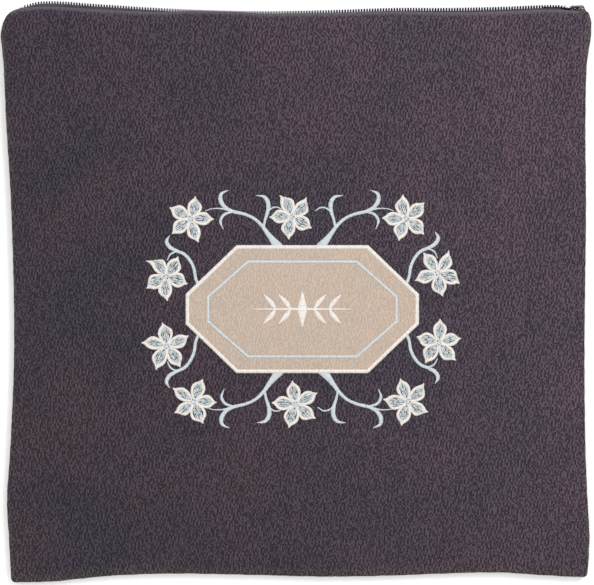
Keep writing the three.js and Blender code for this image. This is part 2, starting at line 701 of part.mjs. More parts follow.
const bag = new THREE.Group();

function add(name, geometry, material, parent = bag) {
  const mesh = new THREE.Mesh(geometry, material);
  mesh.name = name;
  parent.add(mesh);
}

add('front_panel', panel({
  face: 1, reveal: frontReveal, closing: hemClosing.front, zipBase: frontZipBase, outerHeight: frontHeight,
}), cloth);
add('back_panel', panel({
  face: -1, reveal: backReveal, closing: hemClosing.back, zipBase: backZipBase, outerHeight: backHeight,
}), cloth);
add('zip_chain', zipChain(), coilNylon);
add('front_tape', frontTape(), tapeCloth);
add('back_tape', backTape(), tapeCloth);

const slider = new THREE.Group();
slider.position.copy(zipFrame(sliderPlace).from(0, 0));
slider.rotation.x = -THREE.MathUtils.degToRad(sliderRoll);
add('slider', sliderBody(), darkMetal, slider);
const pull = new THREE.Group();
pull.position.y = pivotOut;
add('pull_tab', pullTab(), darkMetal, pull);
slider.add(pull);
bag.add(slider);

add('patch', patch(), patchCloth);
add('patch_border', octagonBand(patchOctagon, borderWidth, borderHeight, stitchGap), creamThread);
add('inner_line', octagonBand(innerOctagon, innerLineWidth, innerLineHeight,
  stitchGap + patchThickness + 0.3), blueThread);
add('sprig', sprig(), creamThread);
for (const row of flowers) add(row.name, flower(row), creamThread);
for (const { name, across, up, slide, stretch, tendril } of quarters) {
  add(`end_vine_${name}`, vine([...endVine, tendril], { across, up, slide }), blueThread);
  add(`side_vine_${name}`, vine(sideVine, { across, up, stretch }), blueThread);
}

// The origin is the middle of the space that the bag takes up, on the surface that it lies on.
const extent = new THREE.Box3().setFromObject(bag);
bag.position.set(-(extent.min.x + extent.max.x) / 2, -(extent.min.y + extent.max.y) / 2, -extent.min.z);

export default bag;
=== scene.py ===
"""Looks of a soft zipped prayer-shawl bag that lies on its back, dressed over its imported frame.

Sizes in the classes are millimetres on the bag's plain rectangle, and the meshes are metres in the
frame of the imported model: +X to the right, +Y to the zip, +Z out of the front.
"""

import logging
import math
from dataclasses import dataclass, field
from enum import Enum
from typing import Any, Callable, NamedTuple

import bmesh
import bpy
import numpy as np
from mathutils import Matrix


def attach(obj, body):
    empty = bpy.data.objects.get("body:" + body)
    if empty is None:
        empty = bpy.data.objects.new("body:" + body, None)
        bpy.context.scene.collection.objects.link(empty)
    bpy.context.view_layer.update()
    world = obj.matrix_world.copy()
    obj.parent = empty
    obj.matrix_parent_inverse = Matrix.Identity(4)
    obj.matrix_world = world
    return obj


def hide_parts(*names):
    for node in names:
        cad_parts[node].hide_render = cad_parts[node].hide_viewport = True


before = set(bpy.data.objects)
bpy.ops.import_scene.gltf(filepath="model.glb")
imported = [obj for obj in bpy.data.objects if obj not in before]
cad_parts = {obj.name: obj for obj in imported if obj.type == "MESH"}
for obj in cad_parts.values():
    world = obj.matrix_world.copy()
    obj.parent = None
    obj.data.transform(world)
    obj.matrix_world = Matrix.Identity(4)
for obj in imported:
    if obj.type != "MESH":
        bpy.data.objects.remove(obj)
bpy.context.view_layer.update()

MM = 0.001
TURN = 2 * math.pi
BAG = "bag"
PULL = "pull"

log = logging.getLogger("bag")

Column = Callable[[np.ndarray], np.ndarray]
Colour = tuple[float, float, float]
Finishes = dict[str, bpy.types.Material]


class Side(Enum):
    """The two faces of the bag, by the direction that each one looks in."""

    FRONT = 1
    BACK = -1


class Yarn(Enum):
    """The record's slots for the embroidery threads."""

    CREAM = "cream_thread"
    BLUE = "blue_thread"


class SideStation(NamedTuple):
    """How far the sides bow in, as shares of half the width, and the seam's share of the zip's height."""

    at: float
    left: float
    right: float
    seam: float


class EndStation(NamedTuple):
    """How far the zip's line and the bottom bow in, as shares of half the height."""

    at: float
    zip: float
    bottom: float


class Fold(NamedTuple):
    """A broad soft fold of the front, by shares of half the width and of the crown's lift."""

    x: float
    y: float
    length: float
    width: float
    depth: float
    turn: float


class HemStation(NamedTuple):
    """How much of the zip shows beyond a panel's hem. `at` runs from -1 at the left to 1 at the right."""

    at: float
    reveal: float


class Step(NamedTuple):
    """A station of a stitched stroke: its place and width by shares."""

    x: float
    y: float
    wide: float


Stroke = tuple[Step, ...]


class Quarter(NamedTuple):
    """A quarter of the emblem, mirrored from the top left."""

    name: str
    across: int
    up: int
    slide: float
    stretch: float
    tendril: Stroke


class Flower(NamedTuple):
    """A flower, by shares of half the emblem, and the angle of one petal."""

    name: str
    x: float
    y: float
    turn: float


def table(kind: Callable[..., Any], *rows: tuple) -> tuple[Any, ...]:
    """Makes named rows of plain ones."""
    return tuple(kind(*row) for row in rows)


def smoothstep(value: Any, low: float, high: float) -> Any:
    """Returns 0 below low and 1 above high, with a smooth rise between them."""
    share = np.clip((value - low) / (high - low), 0, 1)
    return share * share * (3 - 2 * share)


def lerp(first: Any, second: Any, share: Any) -> Any:
    """Returns the value that lies at a share of the way from first to second."""
    return first + (second - first) * share


def unit(vectors: np.ndarray) -> np.ndarray:
    """Returns vectors of length one that point the same ways."""
    return vectors / np.linalg.norm(vectors, axis=-1)[..., None]


def follow(places: Any, values: Any) -> Column:
    """Makes a smooth function through values at rising places, the same one as the part's source has.

    Args:
        places: where the values stand, in rising order.
        values: the value at each place.

    Returns:
        A function of an array of places, held at its end values outside them.
    """
    spots, held = np.asarray(places, float), np.asarray(values, float)
    last = len(spots) - 1

    def value(at: np.ndarray) -> np.ndarray:
        at = np.clip(at, spots[0], spots[-1])
        after = np.clip(np.searchsorted(spots, at, side="right"), 1, last)
        before = after - 1
        start, end = spots[before], spots[after]
        earlier = np.where(before > 0, before - 1, after)
        later = np.where(after < last, after + 1, before)
        half = (end - start) / 2
        pull_in = half / (start - spots[earlier])
        pull_out = half / (spots[later] - end)
        p = (at - start) / (end - start)
        return (
            (-pull_in * p**3 + 2 * pull_in * p**2 - pull_in * p) * held[earlier]
            + ((1 + pull_in) * p**3 - (1.5 + 2 * pull_in) * p**2 + (pull_in - 0.5) * p + 1) * held[before]
            + ((-1 - pull_out) * p**3 + (1.5 + pull_out) * p**2 + 0.5 * p) * held[after]
            + (pull_out * p**3 - pull_out * p**2) * held[later]
        )

    return value


def columns_of(rows: tuple[Any, ...]) -> dict[str, Column]:
    """Makes a smooth function of each column of a table, by the places in its first one."""
    places, *columns = zip(*rows)
    return {name: follow(places, column) for name, column in zip(rows[0]._fields[1:], columns)}


def ripple(place: np.ndarray, length: float, turn: float) -> np.ndarray:
    """Returns an uneven wave between about -1 and 1 whose crests lie roughly one length apart."""
    pace = TURN / length
    return (
        0.5 * np.sin(pace * place + turn)
        + 0.32 * np.sin(0.613 * pace * place + 2.1 * turn + 1.3)
        + 0.25 * np.sin(1.71 * pace * place + 0.7 * turn + 2.9)
    )


FRONT_HEM = table(
    HemStation, (-1, 0.9), (-0.94, 2.5), (-0.83, 3.7), (-0.66, 3.6), (-0.46, 2.8), (-0.36, 1.2), (-0.19, 1.0),
    (-0.12, 1.7), (0.014, 2.1), (0.15, 2.3), (0.285, 2.6), (0.52, 3.3), (0.9, 3.5), (0.93, 3.6), (0.975, 3.3),
    (1, 1.4),
)
BACK_HEM = table(
    HemStation, (-1, 1.0), (-0.98, 5.5), (-0.95, 8.0), (-0.9, 8.2), (0, 8.2), (0.9, 8.2), (0.95, 8.0),
    (0.98, 5.5), (1, 1.0),
)
SIDES = table(
    SideStation, (-1, 0.034, 0.010, 0.50), (-0.86, 0.027, 0.003, 0.58), (-0.72, 0.020, 0.010, 0.66),
    (-0.54, 0.031, 0.017, 0.70), (-0.2, 0.044, 0.020, 0.72), (0.3, 0.034, 0.015, 0.74),
    (0.6, 0.017, 0.017, 0.80), (0.8, 0.008, 0.012, 0.90), (0.9, 0.000, 0.000, 0.95), (1, 0.000, 0.000, 1.00),
)
ENDS = table(
    EndStation, (-1, 0.011, 0.000), (-0.92, 0.010, 0.001), (-0.86, 0.001, 0.003), (-0.66, 0.011, 0.022),
    (-0.46, 0.024, 0.030), (-0.16, 0.034, 0.026), (0.1, 0.031, 0.020), (0.34, 0.023, 0.024),
    (0.52, 0.023, 0.031), (0.7, 0.019, 0.034), (0.86, 0.013, 0.024), (1, 0.016, 0.017),
)
FOLDS = table(
    Fold, (-0.8, 0.78, 0.34, 0.13, 0.1, 40), (0.82, 0.8, 0.3, 0.13, 0.09, -45),
    (-0.78, -0.8, 0.36, 0.13, 0.1, -42), (0.8, -0.78, 0.32, 0.14, 0.09, 40),
    (-0.42, -0.9, 0.16, 0.1, 0.09, 84), (0.5, -0.9, 0.2, 0.1, 0.12, 96),
    (-0.1, 0.86, 0.4, 0.1, 0.08, 4), (0.45, 0.84, 0.18, 0.1, -0.06, 80),
)


@dataclass
class BagForm:
    """The bag's outline and the heights of its two faces, as functions of a place on its rectangle."""

    half_width: float = 180.0
    half_height: float = 177.5
    wall: float = 1.2
    seam_gap: float = 0.3
    fold_slack: float = 0.3
    crown_lift: float = 13.5
    crown_squareness: int = 3
    crown_power: float = 0.75
    zip_height: float = 7.2
    front_zip_base: float = 11.7
    back_zip_base: float = 2.9
    front_reveal: float = 3.4
    back_reveal: float = 8.2
    rise_from: float = 0.55
    corner_sharpness: float = 90.0
    resting_share: float = 0.45
    fold_rise: float = 0.3
    drape_rise: float = 0.12
    slack: float = 0.28
    slack_waves: tuple[float, float] = (83, 61)
    slack_start: float = 14.0
    pucker: float = 0.4
    pucker_waves: tuple[float, float] = (17, 19)
    pucker_reach: float = 9.0
    emblem_centre: tuple[float, float] = (4.0, -10.4)
    emblem_reach: tuple[float, float] = (97.0, 70.0)
    emblem_draw: float = 0.3
    draw_ring: float = 1.02
    draw_wide: float = 0.16
    shift: tuple[float, float] = (-0.156, 0.010)
    columns: dict[str, Column] = field(default_factory=lambda: {**columns_of(SIDES), **columns_of(ENDS)})

    @property
    def fold_height(self) -> float:
        """Two walls of cloth and the slack between them."""
        return 2 * self.wall + self.fold_slack

    def bowed(self, x: np.ndarray, y: np.ndarray) -> tuple[np.ndarray, np.ndarray]:
        """Goes from places on the plain rectangle to places on the bag.

        Args:
            x: places across the rectangle.
            y: places up the rectangle.

        Returns:
            The same places on the bag, whose outline bows in.
        """
        across, up = x / self.half_width, y / self.half_height
        side = np.where(x < 0, self.columns["left"](up), self.columns["right"](up))
        end = np.where(y < 0, self.columns["bottom"](across), self.columns["zip"](across))
        return x * (1 - side), y * (1 - end)

    def unbowed(self, x: np.ndarray, y: np.ndarray) -> tuple[np.ndarray, np.ndarray]:
        """Goes from places on the bag back to the plain rectangle."""
        plain_x, plain_y = np.array(x, float), np.array(y, float)
        for _ in range(4):
            there_x, there_y = self.bowed(plain_x, plain_y)
            plain_x, plain_y = plain_x + x - there_x, plain_y + y - there_y
        return plain_x, plain_y

    def edge_base(self, x: np.ndarray, y: np.ndarray, zip_base: float) -> np.ndarray:
        """Returns the height of the plane that a panel's turned edge lies on."""
        across = np.minimum(np.abs(x) / self.half_width, 1)
        up = np.clip(y / self.half_height, -1, 1)
        share = smoothstep(up, self.rise_from, 1) * (1 - across**self.corner_sharpness)
        return lerp(self.zip_height * self.columns["seam"](up), zip_base, share)

    def fullness(self, x: np.ndarray, y: np.ndarray, reveal: float) -> np.ndarray:
        """Returns how full the bag is, from 0 at its edge to 1 in the middle."""
        across = np.minimum(np.abs(x) / self.half_width, 1)
        reach = np.where(y > 0, self.half_height - reveal, self.half_height)
        up = np.minimum(np.abs(y) / reach, 1)
        return ((1 - across**self.crown_squareness) * (1 - up**self.crown_squareness)) ** self.crown_power

    def fold_depth(self, x: np.ndarray, y: np.ndarray) -> np.ndarray:
        """Returns how deep the broad folds press the front in."""
        depth = np.zeros_like(x)
        for fold in FOLDS:
            turn = math.radians(fold.turn)
            dx, dy = x / self.half_width - fold.x, y / self.half_height - fold.y
            along = (dx * math.cos(turn) + dy * math.sin(turn)) / fold.length
            beside = (dy * math.cos(turn) - dx * math.sin(turn)) / fold.width
            depth += fold.depth * self.crown_lift * np.exp(-(along**2) - beside**2)
        return depth

    def drape(self, x: np.ndarray, y: np.ndarray) -> np.ndarray:
        """Returns the small rise and fall of the cloth: slack, seam puckers and the pull of stitches."""
        from_side, from_end = self.half_width - np.abs(x), self.half_height - np.abs(y)
        rising, falling = self.slack_waves
        slack = ripple(0.8 * x + 0.6 * y, rising, 0.4) + ripple(0.7 * y - 0.7 * x, falling, 2.2)
        by_side = ripple(y, self.pucker_waves[0], 1.0) * np.exp(-from_side / self.pucker_reach)
        by_end = ripple(x, self.pucker_waves[1], 3.1) * np.exp(-from_end / self.pucker_reach)
        open_share = smoothstep(np.minimum(from_side, from_end), 0, self.slack_start)
        spots = zip((x, y), self.emblem_centre, self.emblem_reach)
        ring = np.hypot(*((at - centre) / reach for at, centre, reach in spots))
        draw = self.emblem_draw * np.exp(-(((ring - self.draw_ring) / self.draw_wide) ** 2))
        return self.slack * slack * open_share + self.pucker * (by_side + by_end) - draw

    def front_height(self, x: np.ndarray, y: np.ndarray, edge: Any = 1.0) -> np.ndarray:
        """Returns the height of the front's outer face.

        Args:
            x: places across the plain rectangle.
            y: places up the plain rectangle.
            edge: the crown's share close to the turned edge, 1 further in.
        """
        full = self.fullness(x, y, self.front_reveal)
        crown = self.crown_lift * full - self.fold_depth(x, y) * smoothstep(full, 0, self.fold_rise)
        crown = crown + self.drape(x, y) * smoothstep(full, 0, self.drape_rise)
        return self.edge_base(x, y, self.front_zip_base) + self.seam_gap / 2 + self.fold_height + crown * edge

    def back_height(self, x: np.ndarray, y: np.ndarray, edge: Any = 1.0) -> np.ndarray:
        """Returns the height of the back's outer face, which is flat where the bag rests on it."""
        rim = self.edge_base(x, y, self.back_zip_base) - self.seam_gap / 2 - self.fold_height
        return rim * (1 - smoothstep(self.fullness(x, y, self.back_reveal), 0, self.resting_share) * edge)

    def surface(self, x: np.ndarray, y: np.ndarray) -> np.ndarray:
        """Returns the height of the front's outer face at places on the bag."""
        return self.front_height(*self.unbowed(x, y))

    def metres(self, points: np.ndarray) -> np.ndarray:
        """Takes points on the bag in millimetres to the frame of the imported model."""
        return (points + np.array([*self.shift, 0.0])) * MM


def marked(mesh: bpy.types.Mesh, name: str, values: np.ndarray) -> None:
    """Gives each point of a mesh a named value."""
    mesh.attributes.new(name, "FLOAT", "POINT").data.foreach_set("value", values.astype(np.float32))


@dataclass
class Strands:
    """A bundle of thin closed strands that is joined to one mesh from its arrays."""

    points: np.ndarray
    beside: np.ndarray
    above: np.ndarray
    half_wide: np.ndarray
    half_tall: np.ndarray
    tone: np.ndarray

    @staticmethod
    def joined(bundles: list["Strands"]) -> "Strands":
        """Puts several bundles with strands of equal length together."""
        columns = zip(*(vars(bundle).values() for bundle in bundles))
        return Strands(*(np.concatenate(arrays) for arrays in columns))

    @staticmethod
    def laid(line: np.ndarray, half: float) -> "Strands":
        """Wraps round strands along lines that don't run straight up.

        Args:
            line: points of each strand in metres.
            half: half a strand's thickness in millimetres.

        Returns:
            The strands.
        """
        ahead = unit(np.gradient(line, axis=1))
        beside = unit(np.cross(np.array([0, 0, 1.0]), ahead))
        taper = np.array([0.6, *([1.0] * (line.shape[1] - 2)), 0.6])
        size = np.ones(line.shape[:2]) * taper * half * MM
        return Strands(line, beside, np.cross(ahead, beside), size, size, np.zeros(len(line)))

    def mesh(self, name: str, sides: int = 4) -> bpy.types.Mesh:
        """Joins the strands to one mesh of four-sided faces.

        Args:
            name: the mesh's name.
            sides: an even number of sides round each strand.

        Returns:
            The mesh, with a UV map that runs along (mm) and round each strand, and a tone for each strand.
        """
        count, rings = self.points.shape[:2]
        angle = TURN * np.arange(sides) / sides
        corners = self.points[:, :, None, :] + (
            np.cos(angle)[:, None] * (self.beside * self.half_wide[..., None])[:, :, None, :]
            + np.sin(angle)[:, None] * (self.above * self.half_tall[..., None])[:, :, None, :]
        )
        spot = np.arange(count * rings * sides).reshape(count, rings, sides)
        turned = np.roll(spot, -1, axis=2)
        wall = np.stack([spot[:, :-1], turned[:, :-1], turned[:, 1:], spot[:, 1:]], axis=-1)
        caps = []
        for fan in range(1, sides - 2, 2):
            caps.append(spot[:, 0][:, [fan + 2, fan + 1, fan, 0]])
            caps.append(spot[:, -1][:, [0, fan, fan + 1, fan + 2]])
        faces = np.concatenate([wall.reshape(-1, 4), *caps])
        step = np.linalg.norm(np.diff(self.points, axis=1), axis=2)
        along = np.concatenate([np.zeros((count, 1)), np.cumsum(step, axis=1)], axis=1) / MM
        u = np.broadcast_to(along[:, :, None], spot.shape)
        v = np.broadcast_to(np.arange(sides) / sides, (count, rings - 1, sides))
        uv = np.zeros((len(faces), 4, 2))
        whole = count * (rings - 1) * sides
        uv[:whole, :, 0] = np.stack([u[:, :-1], u[:, :-1], u[:, 1:], u[:, 1:]], axis=-1).reshape(-1, 4)
        uv[:whole, :, 1] = np.stack([v, v + 1 / sides, v + 1 / sides, v], axis=-1).reshape(-1, 4)
        mesh = bpy.data.meshes.new(name)
        mesh.vertices.add(corners.size // 3)
        mesh.vertices.foreach_set("co", corners.astype(np.float32).ravel())
        mesh.loops.add(faces.size)
        mesh.loops.foreach_set("vertex_index", faces.astype(np.int32).ravel())
        mesh.polygons.add(len(faces))
        mesh.polygons.foreach_set("loop_start", np.arange(0, faces.size, 4, dtype=np.int32))
        mesh.update(calc_edges=True)
        mesh.uv_layers.new(name="UVMap").data.foreach_set("uv", uv.astype(np.float32).ravel())
        marked(mesh, "tone", np.repeat(self.tone, rings * sides))
        mesh.shade_smooth()
        mesh.validate()
        return mesh


class Tree:
    """Adds nodes to a node tree and links them."""

    def __init__(self, tree: bpy.types.NodeTree) -> None:
        """Keeps the tree that the nodes go in."""
        self.tree = tree

    def feed(self, socket: bpy.types.NodeSocket, value: Any) -> None:
        """Links an input to an output, or has it hold a value."""
        if isinstance(value, bpy.types.NodeSocket):
            self.tree.links.new(value, socket)
        else:
            socket.default_value = value

    def add(self, kind: str, inputs: dict[Any, Any] | None = None, **settings: Any) -> bpy.types.Node:
        """Adds one node.

        Args:
            kind: the node's type.
            inputs: a socket to link from, or a value to hold, by the input's name or number.
            settings: the node's own properties.

        Returns:
            The node.
        """
        node = self.tree.nodes.new(kind)
        for name, value in settings.items():
            setattr(node, name, value)
        for name, value in (inputs or {}).items():
            self.feed(node.inputs[name], value)
        return node

    def math(self, operation: str, *values: Any) -> bpy.types.NodeSocket:
        """Adds a Math node and returns its result."""
        return self.add("ShaderNodeMath", dict(enumerate(values)), operation=operation).outputs[0]

    def noise(self, place: Any, rate: Any, detail: float, **more: float) -> bpy.types.NodeSocket:
        """Adds a soft noise and returns its value between 0 and 1."""
        inputs = {"Vector": place, "Scale": rate, "Detail": detail, **more}
        return self.add("ShaderNodeTexNoise", inputs).outputs["Fac"]

    def scaled(self, place: Any, factor: Any) -> bpy.types.NodeSocket:
        """Multiplies a place by a factor."""
        return self.add("ShaderNodeVectorMath", {0: place, "Scale": factor}, operation="SCALE").outputs[0]

    def axes(self, place: Any) -> Any:
        """Takes a place apart."""
        return self.add("ShaderNodeSeparateXYZ", {0: place}).outputs

    def span(self, value: Any, low: float, high: float, first: float, second: float) -> bpy.types.NodeSocket:
        """Maps low to first and high to second, smoothly and held at both ends."""
        inputs = {"Value": value, "From Min": low, "From Max": high, "To Min": first, "To Max": second}
        return self.add("ShaderNodeMapRange", inputs, interpolation_type="SMOOTHSTEP").outputs["Result"]

    def mix(self, share: Any, first: Any, second: Any, blend: str = "MIX") -> bpy.types.NodeSocket:
        """Mixes two colours and returns the result."""
        inputs = {0: share, 6: first, 7: second}
        return self.add("ShaderNodeMix", inputs, data_type="RGBA", blend_type=blend).outputs[2]


def linear(red: float, green: float, blue: float) -> tuple[float, float, float, float]:
    """Returns a linear colour from display values between 0 and 255."""
    shares = (value / 255 for value in (red, green, blue))
    parts = (share / 12.92 if share <= 0.04045 else ((share + 0.055) / 1.055) ** 2.4 for share in shares)
    return (*parts, 1.0)


@dataclass
class Effect:
    """A shader node group under way, with its inputs and its outputs by name.

    Args:
        name: the group's name.
        inputs: each plain input's default value, after the place that comes first.
        outputs: the names of its outputs, all plain values.
        place: the name of the first input.
    """

    name: str
    inputs: dict[str, float]
    outputs: tuple[str, ...]
    place: str = "Vector"
    group: bpy.types.NodeTree = field(init=False)
    tree: Tree = field(init=False)
    given: Any = field(init=False)
    out: Any = field(init=False)

    def __post_init__(self) -> None:
        """Starts the group."""
        self.group = bpy.data.node_groups.new(self.name, "ShaderNodeTree")
        panel = self.group.interface
        panel.new_socket(self.place, in_out="INPUT", socket_type="NodeSocketVector")
        for label, value in self.inputs.items():
            panel.new_socket(label, in_out="INPUT", socket_type="NodeSocketFloat").default_value = value
        for label in self.outputs:
            panel.new_socket(label, in_out="OUTPUT", socket_type="NodeSocketFloat")
        self.tree = Tree(self.group)
        self.given = self.tree.add("NodeGroupInput").outputs
        self.out = self.tree.add("NodeGroupOutput").inputs

    def gives(self, *values: Any) -> bpy.types.NodeTree:
        """Links the results to the outputs, in order, and returns the group."""
        for label, value in zip(self.outputs, values):
            self.tree.feed(self.out[label], value)
        return self.group


def pebble_grain() -> bpy.types.NodeTree:
    """Makes the grain of the suede: two sets of short wandering ridges that cross at a slant."""
    crumb_rate, crumb_sway, crumb_share = 2.3, 0.9, 3.0
    effect = Effect("pebble_grain", {"Pitch": 0.0022, "Swirl": 0.0031, "Wander": 2.6}, ("Height", "Valley"))
    tree, given = effect.tree, effect.given
    paces = [tree.math("DIVIDE", rate, given["Swirl"]) for rate in (1.0, crumb_rate)]
    swirl, crumbs = (
        tree.math("SUBTRACT", tree.noise(given["Vector"], pace, 1.0), 0.5) for pace in paces
    )
    parts = tree.axes(given["Vector"])
    across, upward = (tree.math("DIVIDE", parts[axis], given["Pitch"]) for axis in ("X", "Y"))
    sway = tree.math("MULTIPLY_ADD", crumbs, crumb_sway, tree.math("MULTIPLY", swirl, given["Wander"]))
    broken = tree.math("MULTIPLY", crumbs, crumb_share)
    for rate, lean, bend in ((0.93, 0.28, 1.0), (1.07, -0.36, -0.8)):
        run = tree.math("MULTIPLY_ADD", upward, lean, tree.math("MULTIPLY", across, rate))
        phase = tree.math("MULTIPLY_ADD", sway, bend, run)
        broken = tree.math("ADD", tree.math("SINE", tree.math("MULTIPLY", phase, TURN)), broken)
    # Valley is the share of painted shade in the grain's hollows, the reverse of its height.
    return effect.gives(tree.span(broken, -1.8, 1.8, 0.0, 1.0), tree.span(broken, -1.6, 2.2, 1.0, 0.0))


def soft_blotches() -> bpy.types.NodeTree:
    """Makes broad soft patches where the nap lies another way."""
    effect = Effect("soft_blotches", {"Size": 0.05}, ("Share",))
    tree, given = effect.tree, effect.given
    place = tree.scaled(given["Vector"], tree.math("DIVIDE", 1.0, given["Size"]))
    return effect.gives(tree.span(tree.noise(place, 1.0, 3.0, Roughness=0.55), 0.34, 0.66, 0.0, 1.0))


def ply_twist() -> bpy.types.NodeTree:
    """Makes the twist of a two-ply thread from a UV map that runs along (mm) and round it."""
    effect = Effect("ply_twist", {"Turns": 1.4}, ("Height",), "UV")
    tree, given = effect.tree, effect.given
    parts = tree.axes(given["UV"])
    phase = tree.math("ADD", tree.math("MULTIPLY", parts["X"], given["Turns"]), parts["Y"])
    wave = tree.math("SINE", tree.math("MULTIPLY", phase, 2 * TURN))
    return effect.gives(tree.math("MULTIPLY_ADD", wave, 0.5, 0.5))


def woven_ribs() -> bpy.types.NodeTree:
    """Makes a tight twill of slanting ribs."""
    effect = Effect("woven_ribs", {"Pitch": 0.0007}, ("Height",))
    tree, given = effect.tree, effect.given
    parts = tree.axes(tree.scaled(given["Vector"], tree.math("DIVIDE", TURN, given["Pitch"])))
    warp = tree.math("SINE", tree.math("ADD", parts["X"], parts["Y"]))
    weft = tree.math("SINE", tree.math("SUBTRACT", parts["X"], parts["Z"]))
    return effect.gives(tree.math("MULTIPLY_ADD", tree.math("MULTIPLY", warp, weft), 0.5, 0.5))


@dataclass(frozen=True)
class Effects:
    """The shared node groups, each built once."""

    grain: bpy.types.NodeTree
    blotches: bpy.types.NodeTree
    twist: bpy.types.NodeTree
    ribs: bpy.types.NodeTree

    @staticmethod
    def built() -> "Effects":
        """Builds all groups."""
        return Effects(pebble_grain(), soft_blotches(), ply_twist(), woven_ribs())


@dataclass(frozen=True)
class Finish:
    """What every finish of the bag has: a name, a roughness and a gloss."""

    name: str
    roughness: float = 0.8
    gloss: float = 0.3
    metallic: float = 0.0
    sheen: float = 0.0

    def start(self) -> tuple[bpy.types.Material, Tree, bpy.types.Node]:
        """Starts a material with its shader.

        Returns:
            The material, its tree and its shader.
        """
        material = bpy.data.materials.new(self.name)
        material.use_nodes = True
        shader = material.node_tree.nodes["Principled BSDF"]
        for label, value in (
            ("Roughness", self.roughness), ("Metallic", self.metallic), ("Specular IOR Level", self.gloss),
            ("Sheen Weight", self.sheen), ("Sheen Roughness", 0.5),
        ):
            shader.inputs[label].default_value = value
        return material, Tree(material.node_tree), shader

    def placed(self, tree: Tree, group: bpy.types.NodeTree, place: str, **values: float) -> Any:
        """Puts a shared effect in the material.

        Args:
            tree: the material's tree.
            group: the effect.
            place: the kind of coordinates that go in its first input.
            values: its other inputs, by name.

        Returns:
            The effect's outputs.
        """
        inputs = {0: tree.add("ShaderNodeTexCoord").outputs[place], **values}
        return tree.add("ShaderNodeGroup", inputs, node_tree=group).outputs

    def covered(self, tree: Tree, shader: bpy.types.Node, colour: Any, height: Any, depth: float) -> None:
        """Colours the shader and bumps it by a height between 0 and 1 that stands for a depth in metres."""
        tree.feed(shader.inputs["Base Color"], colour)
        bump = tree.add("ShaderNodeBump", {"Height": height, "Strength": 1.0, "Distance": depth})
        tree.feed(shader.inputs["Normal"], bump.outputs["Normal"])


@dataclass(frozen=True)
class SuedeFinish(Finish):
    """Pebbled imitation suede with a short nap, painted lighter towards its upper right as painted light from
    there, with painted light on the hem by the zip and painted shade in the valleys of its grain.
    """

    main: Colour = (72, 59, 69)
    other: Colour = (62, 56, 67)
    # The first pair is the cloth's two blotch colours at the lower left; the second pair is the same cloth
    # painted lighter, painted light from the top right.
    far_main: Colour = (90, 73, 85)
    far_other: Colour = (80, 69, 81)
    edge: Colour = (88, 78, 70)
    # The hem colour is painted light on the rolled hem by the zip.
    hem: Colour = (86, 80, 89)
    worn_share: float = 0.75
    pitch: float = 0.0022
    swirl: float = 0.0031
    wander: float = 2.6
    depth: float = 0.0002
    valley: float = 0.17
    hem_valley: float = 0.3
    blotch: float = 0.05
    slant: float = 0.35
    tint_from: float = -0.2
    tint_to: float = 0.22

    def material(self, effects: Effects) -> bpy.types.Material:
        """Builds the material from the shared effects."""
        material, tree, shader = self.start()
        sizes = {"Pitch": self.pitch, "Swirl": self.swirl, "Wander": self.wander}
        grain = self.placed(tree, effects.grain, "Object", **sizes)
        broad = self.placed(tree, effects.blotches, "Object", Size=self.blotch)["Share"]
        near = tree.mix(broad, linear(*self.main), linear(*self.other))
        far = tree.mix(broad, linear(*self.far_main), linear(*self.far_other))
        # Painted light: towards the upper right the cloth turns from its darker pair of colours to its
        # lighter pair, as if lit from there.
        parts = tree.axes(tree.add("ShaderNodeTexCoord").outputs["Object"])
        across = tree.math("MULTIPLY_ADD", parts["Y"], self.slant, parts["X"])
        tint = tree.mix(tree.span(across, self.tint_from, self.tint_to, 0.0, 1.0), near, far)
        # The turned edge takes its own colour; the hem by the zip is painted lighter, painted light on the
        # rolled hem, with less painted shade in its grain.
        worn, lit = (
            tree.add("ShaderNodeAttribute", attribute_name=name).outputs["Fac"] for name in ("turned", "hem")
        )
        for share, colour in ((worn, self.edge), (lit, self.hem)):
            tint = tree.mix(tree.math("MULTIPLY", share, self.worn_share), tint, linear(*colour))
        # Painted shade: the grain's valleys are darkened in colour on top of the bump, less so on the hem.
        shade = tree.mix(1.0, tint, (self.valley, self.valley, self.valley, 1.0), "MULTIPLY")
        valley = tree.math("MULTIPLY", grain["Valley"], tree.span(lit, 0.0, 1.0, 1.0, self.hem_valley))
        self.covered(tree, shader, tree.mix(valley, tint, shade), grain["Height"], self.depth)
        return material


@dataclass(frozen=True)
class ThreadFinish(Finish):
    """Glossy embroidery thread of two twisted plies, with painted shade in the grooves between the plies."""

    colour: Colour = (228, 224, 218)
    shade: Colour = (204, 197, 188)
    turns: float = 1.2
    depth: float = 0.00006

    def material(self, effects: Effects) -> bpy.types.Material:
        """Builds the material from the shared effects."""
        material, tree, shader = self.start()
        height = self.placed(tree, effects.twist, "UV", Turns=self.turns)["Height"]
        tone = tree.add("ShaderNodeAttribute", attribute_name="tone").outputs["Fac"]
        # Painted shade in the grooves between the plies; the tone also varies at random from stitch to
        # stitch.
        share = tree.math("MAXIMUM", tone, tree.span(height, 0.0, 0.5, 0.5, 0.0))
        colour = tree.mix(share, linear(*self.colour), linear(*self.shade))
        self.covered(tree, shader, colour, height, self.depth)
        return material


@dataclass(frozen=True)
class TapeFinish(Finish):
    """Woven polyester zip tape, with painted shade in the grooves of its weave."""

    colour: Colour = (66, 65, 74)
    shade: Colour = (43, 42, 50)
    pitch: float = 0.0008
    depth: float = 0.00012

    def material(self, effects: Effects) -> bpy.types.Material:
        """Builds the material from the shared effects."""
        material, tree, shader = self.start()
        height = self.placed(tree, effects.ribs, "Object", Pitch=self.pitch)["Height"]
        # Painted shade: the low parts of the ribs take the darker colour.
        colour = tree.mix(height, linear(*self.shade), linear(*self.colour))
        self.covered(tree, shader, colour, height, self.depth)
        return material


